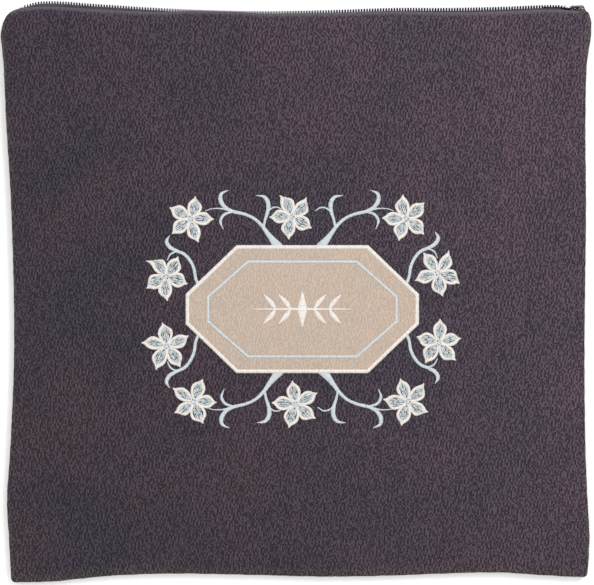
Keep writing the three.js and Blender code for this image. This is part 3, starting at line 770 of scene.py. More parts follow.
@dataclass(frozen=True)
class MouldedFinish(Finish):
    """Smooth nylon or metal with fine lighter scuffs; on the dark metal the light spots are also painted
    glints.
    """

    colour: Colour = (30, 34, 40)
    scuffed: Colour = (70, 76, 84)
    scuff_size: float = 0.0016
    rarity: float = 1.0
    depth: float = 0.00002

    def material(self, effects: Effects) -> bpy.types.Material:
        """Builds the material from the shared effects."""
        material, tree, shader = self.start()
        scuffs = self.placed(tree, effects.blotches, "Object", Size=self.scuff_size)["Share"]
        share = tree.math("POWER", scuffs, self.rarity)
        rough = tree.span(share, 0.0, 1.0, self.roughness * 0.75, self.roughness * 1.35)
        tree.feed(shader.inputs["Roughness"], rough)
        colour = tree.mix(share, linear(*self.colour), linear(*self.scuffed))
        self.covered(tree, shader, colour, share, self.depth)
        return material


LOOKS = (
    SuedeFinish("cloth", roughness=0.88, gloss=0.2, sheen=0.07),
    SuedeFinish("back_cloth", roughness=0.88, gloss=0.2, sheen=0.07, blotch=0.06),
    SuedeFinish(
        "patch_cloth", roughness=0.9, gloss=0.2, sheen=0.12, main=(180, 162, 147), other=(175, 160, 147),
        far_main=(181, 161, 145), far_other=(177, 161, 147), edge=(162, 144, 128), hem=(172, 155, 140),
        pitch=0.0019, swirl=0.0024, depth=0.00008, valley=0.74, blotch=0.02,
    ),
    TapeFinish("tape", roughness=0.85, gloss=0.25),
    MouldedFinish("coil", roughness=0.45, gloss=0.12, colour=(9, 10, 16), scuffed=(26, 28, 36)),
    # The slider's near-white spots are worn paint and painted glints on the dark metal.
    MouldedFinish(
        "dark_metal", roughness=0.3, gloss=0.3, metallic=0.75, colour=(26, 26, 30), scuffed=(205, 207, 210),
        scuff_size=0.001, rarity=8,
    ),
    ThreadFinish("seam_thread", roughness=0.6, colour=(74, 64, 72), shade=(54, 47, 54)),
    ThreadFinish(Yarn.CREAM.value, roughness=0.5, gloss=0.45, sheen=0.1),
    ThreadFinish(
        Yarn.BLUE.value, roughness=0.5, gloss=0.45, sheen=0.1, colour=(203, 211, 214), shade=(168, 178, 184),
    ),
)


def shown(name: str, data: Any) -> bpy.types.Object:
    """Makes an object of a mesh, a light or a camera and puts it in the scene."""
    thing = bpy.data.objects.new(name, data)
    bpy.context.scene.collection.objects.link(thing)
    return thing


def dressed(
    mesh: bpy.types.Mesh, material: bpy.types.Material, nodes: tuple[str, ...] = (),
    body: str = BAG,
) -> bpy.types.Object:
    """Puts a finished mesh in the scene on its body, as a piece that has the mesh's name.

    Args:
        mesh: the mesh, whose place is in its vertices.
        material: its finish.
        nodes: the frame's nodes that it stands for.
        body: the body that it moves with.

    Returns:
        The object.
    """
    piece = shown(mesh.name, mesh)
    mesh.materials.clear()
    mesh.materials.append(material)
    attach(piece, body)
    if nodes:
        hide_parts(*nodes)
    log.info("%s: %d faces on %s", mesh.name, len(mesh.polygons), body)
    return piece


def walled(piece: bpy.types.Object, thick: float, offset: float) -> bpy.types.Object:
    """Gives a sheet a thickness in millimetres, inwards (-1) or both ways (0), and returns it."""
    wall = piece.modifiers.new("wall", "SOLIDIFY")
    wall.thickness, wall.offset = thick * MM, offset
    return piece


def meshed(shape: bmesh.types.BMesh, name: str) -> bpy.types.Mesh:
    """Turns a working shape into a mesh with smooth faces, and frees the shape."""
    mesh = bpy.data.meshes.new(name)
    shape.to_mesh(mesh)
    shape.free()
    mesh.shade_smooth()
    return mesh


def grid_mesh(name: str, columns: int, rows: int, move: Column, flip: bool = False) -> bpy.types.Mesh:
    """Makes a grid and moves its points.

    Args:
        name: the mesh's name.
        columns: faces across.
        rows: faces up.
        move: takes points between -1 and 1 to their places in metres.
        flip: whether the faces turn over.

    Returns:
        The mesh.
    """
    shape = bmesh.new()
    bmesh.ops.create_grid(shape, x_segments=columns, y_segments=rows, size=1)
    moved = move(np.array([point.co[:] for point in shape.verts]))
    for point, place in zip(shape.verts, moved):
        point.co = place
    if flip:
        bmesh.ops.reverse_faces(shape, faces=shape.faces)
    return meshed(shape, name)


@dataclass
class ClothPanel:
    """One panel of cloth: a crowned wall whose edge turns in by the seam allowance."""

    form: BagForm
    side: Side
    name: str
    reveal: Column
    zip_base: float
    inner_rings: int
    nose_steps: int = 8
    shoulder_steps: int = 5
    under_steps: int = 3
    allowance: float = 8.0
    crowding: float = 0.3
    keystone_reach: float = 60.0
    edge_power: float = 0.6
    bottom_corner: tuple[float, float] = (3.0, 3.0)
    zip_left_corner: tuple[float, float] = (14.6, 20.0)
    zip_right_corner: tuple[float, float] = (5.5, 10.5)
    least_round: float = 0.2
    unrounded_rings: int = 3
    zip_reach: tuple[float, float] = (24, 12)
    zip_end: float = 7
    hem_reach: tuple[float, float] = (-3.4, -0.6)
    nose_reach: tuple[float, float] = (-2.4, 0.2)
    bottom_reach: tuple[float, float] = (14, 4)
    bottom_inset: float = 9
    bottom_share: float = 0.6
    wander: float = 0.12
    wander_wave: float = 15
    wander_reach: float = 30
    wander_from: float = 0.97
    turned: np.ndarray = field(init=False)
    hemmed: np.ndarray = field(init=False)

    def rings(self) -> tuple[np.ndarray, np.ndarray, np.ndarray]:
        """Lists the rings from the middle to the turned-in rim.

        Returns:
            Each ring's distance from the edge, its lift off the edge's plane, and whether it is on the fold.
        """
        nose = self.form.fold_height / 2
        inside = np.linspace(self.form.half_width, self.allowance, self.inner_rings + 1)
        shoulder = np.linspace(self.allowance, nose, self.shoulder_steps + 1)[1:-1]
        angle = np.linspace(math.pi / 2, -math.pi / 2, self.nose_steps + 1)
        under = np.linspace(nose, self.allowance, self.under_steps + 1)[1:]
        open_rings = len(inside) + len(shoulder)
        inset = np.concatenate([inside, shoulder, nose * (1 - np.cos(angle)), under])
        lift = np.concatenate([np.zeros(open_rings), nose * (1 + np.sin(angle)), np.zeros(len(under))])
        return inset, lift, np.arange(len(inset)) >= open_rings

    def crowded(self, share: np.ndarray) -> np.ndarray:
        """Draws evenly spaced shares of a side together towards its ends."""
        return share * (1 + self.crowding - self.crowding * share**2)

    def place(self, points: np.ndarray) -> np.ndarray:
        """Takes the points of a square grid to the panel.

        Args:
            points: places between -1 and 1.

        Returns:
            The panel's outer face in metres.
        """
        form = self.form
        inset_of, lift_of, folded_of = self.rings()
        last = len(inset_of) - 1
        column, row = np.rint(points[:, 0] * last), np.rint(points[:, 1] * last)
        ring = np.maximum(np.abs(column), np.abs(row)).astype(int)
        whole = np.maximum(ring, 1)
        inset, lift, folded = inset_of[ring], lift_of[ring], folded_of[ring]
        span_x = form.half_width - inset
        x = self.crowded(column / whole) * span_x
        full_y = form.half_height - np.where(row > 0, self.reveal(x / form.half_width), 0)
        keystone = smoothstep(inset, self.allowance, self.keystone_reach)
        span_y = full_y - inset * lerp(1, full_y / form.half_width, keystone)
        y = self.crowded(row / whole) * span_y
        round_x, round_y = (
            np.maximum(np.where(row < 0, bottom, np.where(column < 0, left, right)) - inset, self.least_round)
            for bottom, left, right in zip(self.bottom_corner, self.zip_left_corner, self.zip_right_corner)
        )
        over_x, over_y = np.abs(x) - (span_x - round_x), np.abs(y) - (span_y - round_y)
        rounded = (over_x > 0) & (over_y > 0) & (ring > self.unrounded_rings)
        reach = np.maximum(np.hypot(over_x / round_x, over_y / round_y), 1e-9)
        x = np.where(rounded, np.sign(x) * (span_x - round_x + over_x / reach), x)
        y = np.where(rounded, np.sign(y) * (span_y - round_y + over_y / reach), y)
        nose = form.fold_height / 2
        near_edge = np.clip((inset - nose) / (self.allowance - nose), 0, 1) ** self.edge_power
        height = form.front_height if self.side is Side.FRONT else form.back_height
        fold_z = form.edge_base(x, y, self.zip_base) + self.side.value * (form.seam_gap / 2 + lift)
        z = np.where(folded, fold_z, height(x, y, near_edge))
        self.mark(x, y, inset)
        return form.metres(np.stack([*self.wandered(x, y, inset), z], axis=1))

    def mark(self, x: np.ndarray, y: np.ndarray, inset: np.ndarray) -> None:
        """Notes how far each point belongs to the worn turned edge and to the hem along the zip, where light
        is painted.
        """
        half_width, half_height = self.form.half_width, self.form.half_height
        by_zip = smoothstep(y, *(half_height - reach for reach in self.zip_reach))
        by_zip = by_zip * (np.abs(x) < half_width - self.zip_end)
        by_bottom = self.bottom_share * smoothstep(-inset, -self.bottom_inset, 0)
        by_bottom = by_bottom * smoothstep(-y, *(half_height - reach for reach in self.bottom_reach))
        self.turned = np.maximum(smoothstep(-inset, *self.nose_reach), by_bottom) * (1 - by_zip)
        self.hemmed = smoothstep(-inset, *self.hem_reach) * by_zip

    def wandered(self, x: np.ndarray, y: np.ndarray, inset: np.ndarray) -> tuple[np.ndarray, np.ndarray]:
        """Goes from the plain rectangle to the bag, where the sewn edge wanders out and in."""
        form = self.form
        there_x, there_y = form.bowed(x, y)
        out = -self.wander - self.wander * ripple(x + 1.3 * y, self.wander_wave, 0.5)
        out = out * (1 - np.clip(inset / self.wander_reach, 0, 1))
        there_x = there_x + np.sign(x) * out * (np.abs(x) / form.half_width > self.wander_from)
        there_y = there_y + np.sign(y) * out * (y < 0) * (np.abs(y) / form.half_height > self.wander_from)
        return there_x, there_y

    def build(self, material: bpy.types.Material) -> bpy.types.Object:
        """Builds the panel with its wall."""
        count = 2 * (len(self.rings()[0]) - 1)
        mesh = grid_mesh(f"{self.name}_cloth", count, count, self.place, self.side is Side.BACK)
        marked(mesh, "turned", self.turned)
        marked(mesh, "hem", self.hemmed)
        return walled(dressed(mesh, material, (self.name,)), self.form.wall, -1)


@dataclass
class Zip:
    """The closed coil zip: two interlocked coils, the thread that holds them, and two woven tapes."""

    form: BagForm
    chain_wide: float = 6.0
    chain_thick: float = 2.2
    pitch: float = 1.67
    wire: float = 0.74
    wire_flat: float = 1.28
    start: float = -166.0
    slider_place: float = 172.0
    slider_long: float = 9.6
    slider_wide: float = 8.6
    slider_roll: float = 75.0
    free_roll: float = 60.0
    push_out: float = 0.4
    leg_lean: float = 0.2
    leg_turn: float = 0.8
    first_turn: float = 0.35
    coil_end: float = 1
    side_play: float = 0.12
    head: float = -0.62
    head_bulge: float = 0.1
    head_reach: float = 0.5
    twist_long: float = 7.5
    slider_sink: float = 1.4
    start_sink: float = 0.7
    start_sink_long: float = 7.0
    binding_end: float = 6
    binding_across: float = 0.9
    binding_half: float = 0.15
    binding_arch: tuple[tuple[float, float], ...] = (
        (0.02, 0.75), (0.2, 1.12), (0.5, 1.2), (0.8, 1.12), (0.98, 0.75),
    )
    fray_count: int = 16
    fray_foot: tuple[tuple[float, float], ...] = ((161.5, 165.5), (1.2, 2.9), (0.2, 1.2))
    fray_curl: float = 0.35
    fray_long: tuple[float, float] = (0.9, 1.8)
    fray_half: float = 0.06
    tape_thick: float = 0.7
    tape_edge: float = 1.55
    tape_edge_drift: float = -0.4
    tape_depth: float = 0.4
    tape_tuck: float = 12.0
    tape_ends: tuple[float, float] = (2, 1.5)
    tape_steps: tuple[int, int] = (240, 12)
    least_hem: float = 1.2
    running_gap: float = 0.35
    slot_gaps: tuple[float, float] = (0.6, 0.7)
    turn_steps: int = 14
    front_hem: Column = field(default_factory=lambda: columns_of(FRONT_HEM)["reveal"])

    def slider_share(self, x: np.ndarray, before: float = 0.0) -> np.ndarray:
        """Returns how far the zip is turned in for the slider, from 0 to 1."""
        near = self.slider_place - self.slider_long / 2 - before
        return smoothstep(x, near - self.twist_long + before, near)

    def spread(self, x: np.ndarray, across: Any, out: Any) -> np.ndarray:
        """Finds places on the chain.

        Args:
            x: places along the zip.
            across: distances from the chain's middle towards the front.
            out: distances out of its outer face.

        Returns:
            The places in millimetres.
        """
        share = self.slider_share(x)
        roll = np.radians(lerp(self.free_roll, self.slider_roll, share))
        outward = np.stack([np.zeros_like(x), np.cos(roll), -np.sin(roll)], axis=-1)
        frontward = np.stack([np.zeros_like(x), np.sin(roll), np.cos(roll)], axis=-1)
        reach = self.chain_wide / 2 * frontward[..., 1] + self.chain_thick / 2 * outward[..., 1]
        sink = self.slider_sink * share
        sink = sink + self.start_sink * (1 - smoothstep(x, self.start, self.start + self.start_sink_long))
        edge = self.form.bowed(x, np.full_like(x, self.form.half_height))[1]
        middle = edge - reach - sink + self.push_out * (1 - share)
        centre = np.stack([x, middle, np.full_like(x, self.form.zip_height)], axis=-1)
        return centre + frontward * np.asarray(across)[..., None] + outward * np.asarray(out)[..., None]

    @staticmethod
    def lag(side: Side) -> float:
        """Returns how many turns a coil starts late, so that the two interlock."""
        return 0.5 if side is Side.BACK else 0.0

    def coil(self, side: Side) -> bpy.types.Mesh:
        """Winds one half of the chain as a single wire."""
        turns = int((self.slider_place - self.coil_end - self.start) / self.pitch) - 1
        phase = np.linspace(0, TURN * turns, turns * self.turn_steps + 1)
        share = phase / TURN
        within = share - np.floor(share)
        leg = (1 - self.leg_lean) * smoothstep(within, self.leg_turn, 1.0)
        crossing = np.floor(share) + self.leg_lean * within + leg
        x = self.start + self.pitch * (crossing + self.lag(side) + self.first_turn)
        widest, head = self.chain_wide / 2 - self.wire / 2 + self.side_play, self.head
        across = side.value * ((widest + head) / 2 + (widest - head) / 2 * np.cos(phase + math.pi))
        out = (self.chain_thick - self.wire) / 2 * np.sin(phase + math.pi) * -1
        line = self.form.metres(self.spread(x, across, out))
        ahead = unit(np.gradient(line, axis=0))
        beside = unit(np.array([1.0, 0, 0]) - ahead * ahead[:, :1])
        thick = np.full((1, len(line)), self.wire / 2 * MM)
        bulge = self.head_bulge * np.exp(-(((across - side.value * head) / self.head_reach) ** 2))
        flat = thick * (self.wire_flat + bulge)
        bundle = Strands(line[None], beside[None], np.cross(ahead, beside)[None], flat, thick, np.zeros(1))
        return bundle.mesh(f"{side.name.lower()}_coil", sides=6)

    def binding(self, side: Side) -> bpy.types.Mesh:
        """Sews one coil down with a row of stitches that lie over its turns."""
        turns = int((self.slider_place - self.binding_end - self.start) / self.pitch) - 2
        start = self.start + self.pitch * (np.arange(turns) + 1.0 + self.lag(side))
        across = np.full_like(start, side.value * self.binding_across)
        rows = [
            self.spread(start + self.pitch * along, across, np.full_like(start, -side.value * out))
            for along, out in self.binding_arch
        ]
        stitches = Strands.laid(self.form.metres(np.stack(rows, axis=1)), self.binding_half)
        return stitches.mesh(f"{side.name.lower()}_coil_binding")

    def fray(self) -> bpy.types.Mesh:
        """Makes the few fibres that stand out where the front tape ends beside the slider."""
        chance = np.random.default_rng(3)
        count = self.fray_count
        foot = self.form.metres(self.spread(*(chance.uniform(*span, count) for span in self.fray_foot)))
        sideways, out = chance.normal(0.2, 0.5, count), chance.uniform(0.2, 1, count)
        aim = unit(np.stack([sideways, out, chance.normal(0.4, 0.4, count)], axis=1))
        curl = chance.normal(0, self.fray_curl, (count, 3))
        at = np.linspace(0, 1, 5)[None, :, None]
        long = chance.uniform(*self.fray_long, (count, 1, 1))
        line = foot[:, None] + (aim[:, None] * at + curl[:, None] * at**2) * long * MM
        return Strands.laid(line, self.fray_half).mesh("tape_fray")

    def hem(self, x: np.ndarray, y: Any, zip_base: float, face: int) -> np.ndarray:
        """Returns where a tape's middle lies over the turned edge of its panel, as rows of y and z."""
        offset = self.form.seam_gap / 2 - self.running_gap - self.tape_thick / 2
        y = np.broadcast_to(np.asarray(y, float), x.shape)
        return np.stack([self.form.bowed(x, y)[1], self.form.edge_base(x, y, zip_base) + face * offset])

    def front_rows(self, x: np.ndarray) -> np.ndarray:
        """Returns four rows of the front's tape, from the edge beside the chain to its seam."""
        form = self.form
        nose = form.half_height - np.maximum(self.front_hem(x / form.half_width), self.least_hem)
        turned = smoothstep(self.slider_share(x, 1), 0.8, 1)
        hem = lambda y: self.hem(x, y, form.front_zip_base, 1)
        shown = self.tape_edge + self.tape_edge_drift * x / form.half_width
        by_chain = self.spread(x, shown, np.full_like(x, -self.chain_thick / 2 - self.tape_depth))
        edge = lerp(by_chain[:, 1:].T, hem(nose - 2), turned)
        following = lerp(edge[0], hem(nose - 1)[0], 0.35)
        second = np.stack([lerp(following, hem(nose - 3)[0], turned), lerp(edge[1], hem(nose)[1], 0.7)])
        return np.stack([edge, second, hem(nose - 1 - 4 * turned), hem(nose - self.tape_tuck)])

    def back_rows(self, x: np.ndarray) -> np.ndarray:
        """Returns four rows of the back's tape, from its seam to the edge beside the chain."""
        form = self.form
        beside_chain = (self.chain_wide + self.tape_thick) / 2 + self.running_gap
        nose = form.half_height - form.back_reveal
        inside = self.slider_share(x)
        behind = lerp(-self.chain_thick / 2, 0, inside)
        slot = lerp(-beside_chain - self.slot_gaps[0], -self.slider_wide / 2 - self.slot_gaps[1], inside)
        seam = [self.hem(x, y, form.back_zip_base, -1) for y in (nose - self.tape_tuck, nose - 1)]
        edge = [self.spread(x, across, behind)[:, 1:].T for across in (slot, np.full_like(x, -beside_chain))]
        return np.stack([*seam, *edge])

    def tape(self, side: Side, material: bpy.types.Material) -> bpy.types.Object:
        """Builds one woven tape."""
        columns, rows = self.tape_steps
        weights = np.stack([follow(range(4), np.eye(4)[k])(np.linspace(0, 3, rows + 1)) for k in range(4)])
        rows_of = self.front_rows if side is Side.FRONT else self.back_rows

        def move(points: np.ndarray) -> np.ndarray:
            along = (points[:, 0] + 1) / 2
            x = lerp(self.start - self.tape_ends[0], self.slider_place - self.tape_ends[1], along)
            row = np.rint((points[:, 1] + 1) / 2 * rows).astype(int)
            blended = np.einsum("kn,kcn->cn", weights[:, row], rows_of(x))
            return self.form.metres(np.stack([x, blended[0], blended[1]], axis=1))

        name = f"{side.name.lower()}_tape"
        mesh = grid_mesh(f"{name}_weave", columns, rows, move)
        return walled(dressed(mesh, material, (name,)), self.tape_thick, 0)

    def build(self, finishes: Finishes) -> None:
        """Builds the zip's pieces."""
        for side in Side:
            dressed(self.coil(side), finishes["coil"], ("zip_chain",))
            dressed(self.binding(side), finishes["seam_thread"])
            self.tape(side, finishes["tape"])
        dressed(self.fray(), finishes["seam_thread"])


@dataclass
class Hardware:
    """The slider and its pull, taken from the frame with their edges rounded."""

    round_slider: float = 0.16
    round_pull: float = 0.22
    joined_within: float = 2e-6
    flat_within: float = 0.02
    sharp_from: float = 0.35
    round_steps: int = 3

    def rounded(self, node: str, name: str, radius: float) -> bpy.types.Mesh:
        """Copies a node's mesh, joins its loose triangles and rounds its edges.

        Args:
            node: the frame's node.
            name: the new mesh's name.
            radius: the edges' radius in millimetres.

        Returns:
            The mesh.
        """
        shape = bmesh.new()
        shape.from_mesh(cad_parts[node].data)
        bmesh.ops.remove_doubles(shape, verts=shape.verts, dist=self.joined_within)
        bmesh.ops.dissolve_limit(shape, angle_limit=self.flat_within, verts=shape.verts, edges=shape.edges)
        closed = (edge for edge in shape.edges if edge.is_manifold)
        sharp = [edge for edge in closed if edge.calc_face_angle() > self.sharp_from]
        bmesh.ops.bevel(
            shape, geom=sharp, offset=radius * MM, segments=self.round_steps, profile=0.5, affect="EDGES",
            clamp_overlap=True, material=-1,
        )
        return meshed(shape, name)

    def build(self, finishes: Finishes) -> None:
        """Builds the slider and the pull."""
        metal = finishes["dark_metal"]
        dressed(self.rounded("slider", "slider_metal", self.round_slider), metal, ("slider",))
        pull = self.rounded("pull_tab", "pull_metal", self.round_pull)
        dressed(pull, metal, ("pull_tab",), PULL)


END_VINE = (
    table(
        Step, (-0.15, 0.53, 0.84), (-0.162, 0.556, 0.74), (-0.178, 0.585, 0.58), (-0.215, 0.652, 0.38),
        (-0.252, 0.722, 0.3), (-0.302, 0.785, 0.26), (-0.36, 0.822, 0.26), (-0.43, 0.845, 0.28),
        (-0.49, 0.868, 0.17), (-0.532, 0.873, 0.12), (-0.575, 0.868, 0.1), (-0.605, 0.852, 0.09),
    ),
    table(
        Step, (-0.425, 0.845, 0.2), (-0.483, 0.883, 0.31), (-0.512, 0.943, 0.36), (-0.508, 0.998, 0.28),
        (-0.465, 1.03, 0.08),
    ),
    table(Step, (-0.43, 0.845, 0.16), (-0.488, 0.82, 0.24), (-0.512, 0.765, 0.24), (-0.496, 0.695, 0.08)),
    table(
        Step, (-0.243, 0.705, 0.2), (-0.232, 0.78, 0.24), (-0.216, 0.85, 0.31), (-0.214, 0.92, 0.36),
        (-0.238, 0.972, 0.28), (-0.288, 0.985, 0.08),
    ),
)
TENDRIL_LEFT = table(
    Step, (-0.215, 0.845, 0.16), (-0.192, 0.876, 0.16), (-0.162, 0.884, 0.13), (-0.13, 0.868, 0.1),
)
TENDRIL_RIGHT = table(
    Step, (-0.215, 0.845, 0.16), (-0.185, 0.875, 0.16), (-0.15, 0.88, 0.14), (-0.118, 0.852, 0.1),
)
SIDE_VINE = (
    table(
        Step, (-0.644, 0.19, 0.27), (-0.655, 0.225, 0.27), (-0.668, 0.268, 0.26), (-0.676, 0.34, 0.27),
        (-0.7, 0.415, 0.27), (-0.738, 0.475, 0.27), (-0.79, 0.507, 0.28), (-0.832, 0.54, 0.33),
        (-0.85, 0.59, 0.3), (-0.832, 0.636, 0.08),
    ),
    table(Step, (-0.785, 0.503, 0.18), (-0.826, 0.474, 0.16), (-0.845, 0.425, 0.1)),
)
QUARTERS = table(
    Quarter,
    ("top_left", 1, 1, 0.0, 1.0, TENDRIL_LEFT),
    ("top_right", -1, 1, -0.036, 1.05, TENDRIL_RIGHT),
    ("bottom_left", 1, -1, 0.006, 1.07, TENDRIL_LEFT),
    ("bottom_right", -1, -1, -0.02, 1.01, TENDRIL_RIGHT),
)
FLOWERS = table(
    Flower, ("flower_top_left", -0.7, 0.782, 0), ("flower_top_middle", -0.065, 0.8, 36),
    ("flower_top_right", 0.65, 0.782, 36), ("flower_left_upper", -0.852, 0.281, -90),
    ("flower_left_lower", -0.849, -0.322, 90), ("flower_right_upper", 0.847, 0.312, -90),
    ("flower_right_lower", 0.854, -0.292, 90), ("flower_bottom_left", -0.68, -0.803, 0),
    ("flower_bottom_middle", -0.04, -0.825, 33), ("flower_bottom_right", 0.662, -0.803, 36),
)
PETAL_OUTLINE = follow(
    (0.1, 0.2, 0.3, 0.42, 0.56, 0.68, 0.79, 0.87, 0.93, 1.0),
    (0.3, 0.56, 0.78, 0.93, 1.0, 0.92, 0.66, 0.36, 0.18, 0.05),
)
SPRIG_STEM = table(Step, (-1, 0, 0.03), (-0.5, 0, 0.06), (0, 0, 0.08), (0.5, 0, 0.06), (1, 0, 0.03))
SPRIG_HEART = table(Step, (0, -1, 0.03), (0, -0.4, 0.2), (0, 0, 0.3), (0, 0.4, 0.2), (0, 1, 0.03))
SPRIG_LEAF = table(Step, (0, 0, 0.05), (0.07, 0.3, 0.15), (0.15, 0.55, 0.12), (0.24, 0.8, 0.03))
SPRIG_PLACES = (0.24, 0.54)


class Octagon(NamedTuple):
    """The outline of the patch or of the line on it, by its size and the lengths of its flats."""

    wide: float
    tall: float
    top_flat: float
    side_flat: float

    def corners(self, inset: float) -> np.ndarray:
        """Finds the corners of the octagon, drawn in.

        Args:
            inset: how far it is drawn in.

        Returns:
            The corners, from the right side's upper end and anticlockwise.
        """
        wide, tall = self.wide / 2 - inset, self.tall / 2 - inset
        slant_x, slant_y = (self.wide - self.top_flat) / 2, (self.tall - self.side_flat) / 2
        slant = math.hypot(slant_x, slant_y)
        top = self.top_flat / 2 - inset * (slant - slant_x) / slant_y
        side = self.side_flat / 2 - inset * (slant - slant_y) / slant_x
        upper = np.array([[wide, side], [top, tall], [-top, tall], [-wide, side]])
        return np.concatenate([upper, -upper])


@dataclass(frozen=True)
class Petal:
    """One petal: where it starts, its direction, its length and half width, and how its tip leans."""

    centre: np.ndarray
    aim: float
    reach: float
    half: float
    tip: float

    def bend(self, at: np.ndarray) -> np.ndarray:
        """Returns how far the petal's middle lies aside at shares of its length."""
        return self.tip * self.reach * smoothstep(at, 0.62, 1.05) * at

    def on_emblem(self, along: np.ndarray, beside: np.ndarray) -> np.ndarray:
        """Takes places along and beside the petal to places on the emblem."""
        cos, sin = math.cos(self.aim), math.sin(self.aim)
        return np.stack([along, beside], axis=1) @ np.array([[cos, sin], [-sin, cos]]) + self.centre


@dataclass
class Embroidery:
    """The stitched emblem: patch, borders, flowers, vines and sprig, each stitch a strand of its own."""

    form: BagForm
    finishes: Finishes
    patch_size: Octagon = Octagon(142.0, 78.0, 80.0, 18.5)
    patch_thick: float = 1.0
    patch_tuck: float = 0.55
    patch_sink: float = 0.35
    patch_steps: tuple[int, int] = (120, 66)
    patch_rim: float = 0.05
    border_wide: float = 2.75
    border_rise: float = 1.25
    inner_size: Octagon = Octagon(142.0 - 2 * 13.0, 78.0 - 2 * 9.4, 66.6, 15.8)
    inner_wide: float = 1.7
    inner_rise: float = 0.42
    petal_reach: float = 14.6
    petal_wide: float = 8.9
    petal_band: float = 2.05
    petal_rise: float = 0.75
    # The petal edges' thread is darker than the border's: painted shade on the thin petal outlines.
    petal_dull: float = 0.5
    filling_pitch: float = 0.52
    filling_long: float = 3.2
    filling_rise: float = 0.42
    stroke_wide: float = 8.6
    stroke_less: float = 0.2
    least_stroke: float = 0.35
    vine_rise: float = 0.62
    sprig_long: float = 60.0
    sprig_tall: float = 22.0
    sprig_rise: float = 0.55
    thread: float = 0.44
    spacing: float = 0.36
    unevenness: float = 0.05
    stitch_places: tuple[float, ...] = (-1.0, -0.74, 0.0, 0.74, 1.0)
    stitch_arch: tuple[float, ...] = (-0.35, 0.55, 1.0, 0.55, -0.35)
    stitch_taper: tuple[float, ...] = (0.6, 1, 1.05, 1, 0.6)
    chance: np.random.Generator = field(default_factory=lambda: np.random.default_rng(7))

    def stitches(
        self, left: np.ndarray, right: np.ndarray, rise: float, base: float = 0.0, dull: float = 0.22,
    ) -> Strands:
        """Lays one arched stitch between each pair of places.

        Args:
            left: where the stitches start, measured from the emblem's centre.
            right: where they end.
            rise: how high the middle of a stitch stands over what is under it.
            base: the height of what is under it over the cloth.
            dull: the mean share by which the thread's colour goes to its shade, from 0 to 1; each stitch's
                tone varies at random round it, and the petals' higher share is painted shade.

        Returns:
            The strands.
        """
        count = len(left)
        shake = self.chance.normal(0, self.unevenness, (2, count, 2))
        left, right = left + shake[0], right + shake[1]
        centre, half = (left + right) / 2, (right - left) / 2
        flat = centre[:, None] + half[:, None] * np.array(self.stitch_places)[None, :, None]
        flat = flat + np.array(self.form.emblem_centre)
        height = self.form.surface(flat[..., 0], flat[..., 1]) + base
        lift = rise * self.chance.normal(1, self.unevenness, count)[:, None] * np.array(self.stitch_arch)
        line = self.form.metres(np.concatenate([flat, (height + lift)[..., None]], axis=2))
        ahead = half / np.maximum(np.linalg.norm(half, axis=1), 1e-6)[:, None]
        beside = np.stack([-ahead[:, 1], ahead[:, 0], np.zeros(count)], axis=1)[:, None]
        taper = np.array(self.stitch_taper) * self.chance.normal(1, self.unevenness, count)[:, None]
        size = taper * self.thread / 2 * MM
        tone = np.clip(self.chance.normal(dull, 0.2, count), 0, 1)
        sides = (np.broadcast_to(way, line.shape) for way in (beside, np.array([0, 0, 1.0])))
        return Strands(line, *sides, size, size * 0.8, tone)

    def column(
        self, x: np.ndarray, y: np.ndarray, wide: np.ndarray, rise: float, base: float = 0.0,
    ) -> Strands:
        """Fills a tapering stroke with satin stitches that cross it.

        Args:
            x: the stroke's stations across the emblem.
            y: the stations up the emblem.
            wide: the stroke's width at each station.
            rise: the stitches' height.
            base: the height of what is under them.

        Returns:
            The strands.
        """
        reach = np.concatenate([[0], np.cumsum(np.hypot(np.diff(x), np.diff(y)))])
        at = np.linspace(0, reach[-1], max(int(reach[-1] / self.spacing), 4))
        x, y, wide = (follow(reach, values)(at) for values in (x, y, wide))
        line = np.stack([x, y], axis=1)
        ahead = unit(np.gradient(line, axis=0))
        aside = np.stack([-ahead[:, 1], ahead[:, 0]], axis=1)
        aside = aside * np.maximum(wide, self.least_stroke)[:, None] / 2
        lean = ahead * self.spacing * 0.5
        return self.stitches(line + aside - lean, line - aside + lean, rise, base)

    def band(self, octagon: Octagon, width: float, rise: float, base: float = 0.0) -> Strands:
        """Fills a band round an octagon, its stitches fanned at the corners."""
        outer, inner = octagon.corners(0), octagon.corners(width)
        starts, ends = [], []
        for side in range(8):
            following = (side + 1) % 8
            count = int(np.linalg.norm(outer[following] - outer[side]) / self.spacing)
            share = (np.arange(count)[:, None] + 0.5) / count
            starts.append(lerp(outer[side], outer[following], share))
            ends.append(lerp(inner[side], inner[following], share))
        return self.stitches(np.concatenate(starts), np.concatenate(ends), rise, base)

    def petal_edges(self, petal: Petal) -> list[Strands]:
        """Stitches the two satin edges of a petal."""
        at = np.linspace(0.13, 1.0, int(petal.reach * 1.12 / self.spacing))
        back = at - 0.035 - 0.05 * smoothstep(at, 0.6, 1.0)
        wide = PETAL_OUTLINE(at) * petal.half
        inner = np.maximum(wide - self.petal_band, -0.05)
        edges = []
        for side in (-1, 1):
            start = petal.on_emblem(at * petal.reach, side * wide + petal.bend(at))
            end = petal.on_emblem(back * petal.reach, side * inner + petal.bend(back))
            edges.append(self.stitches(start, end, self.petal_rise, dull=self.petal_dull))
        return edges

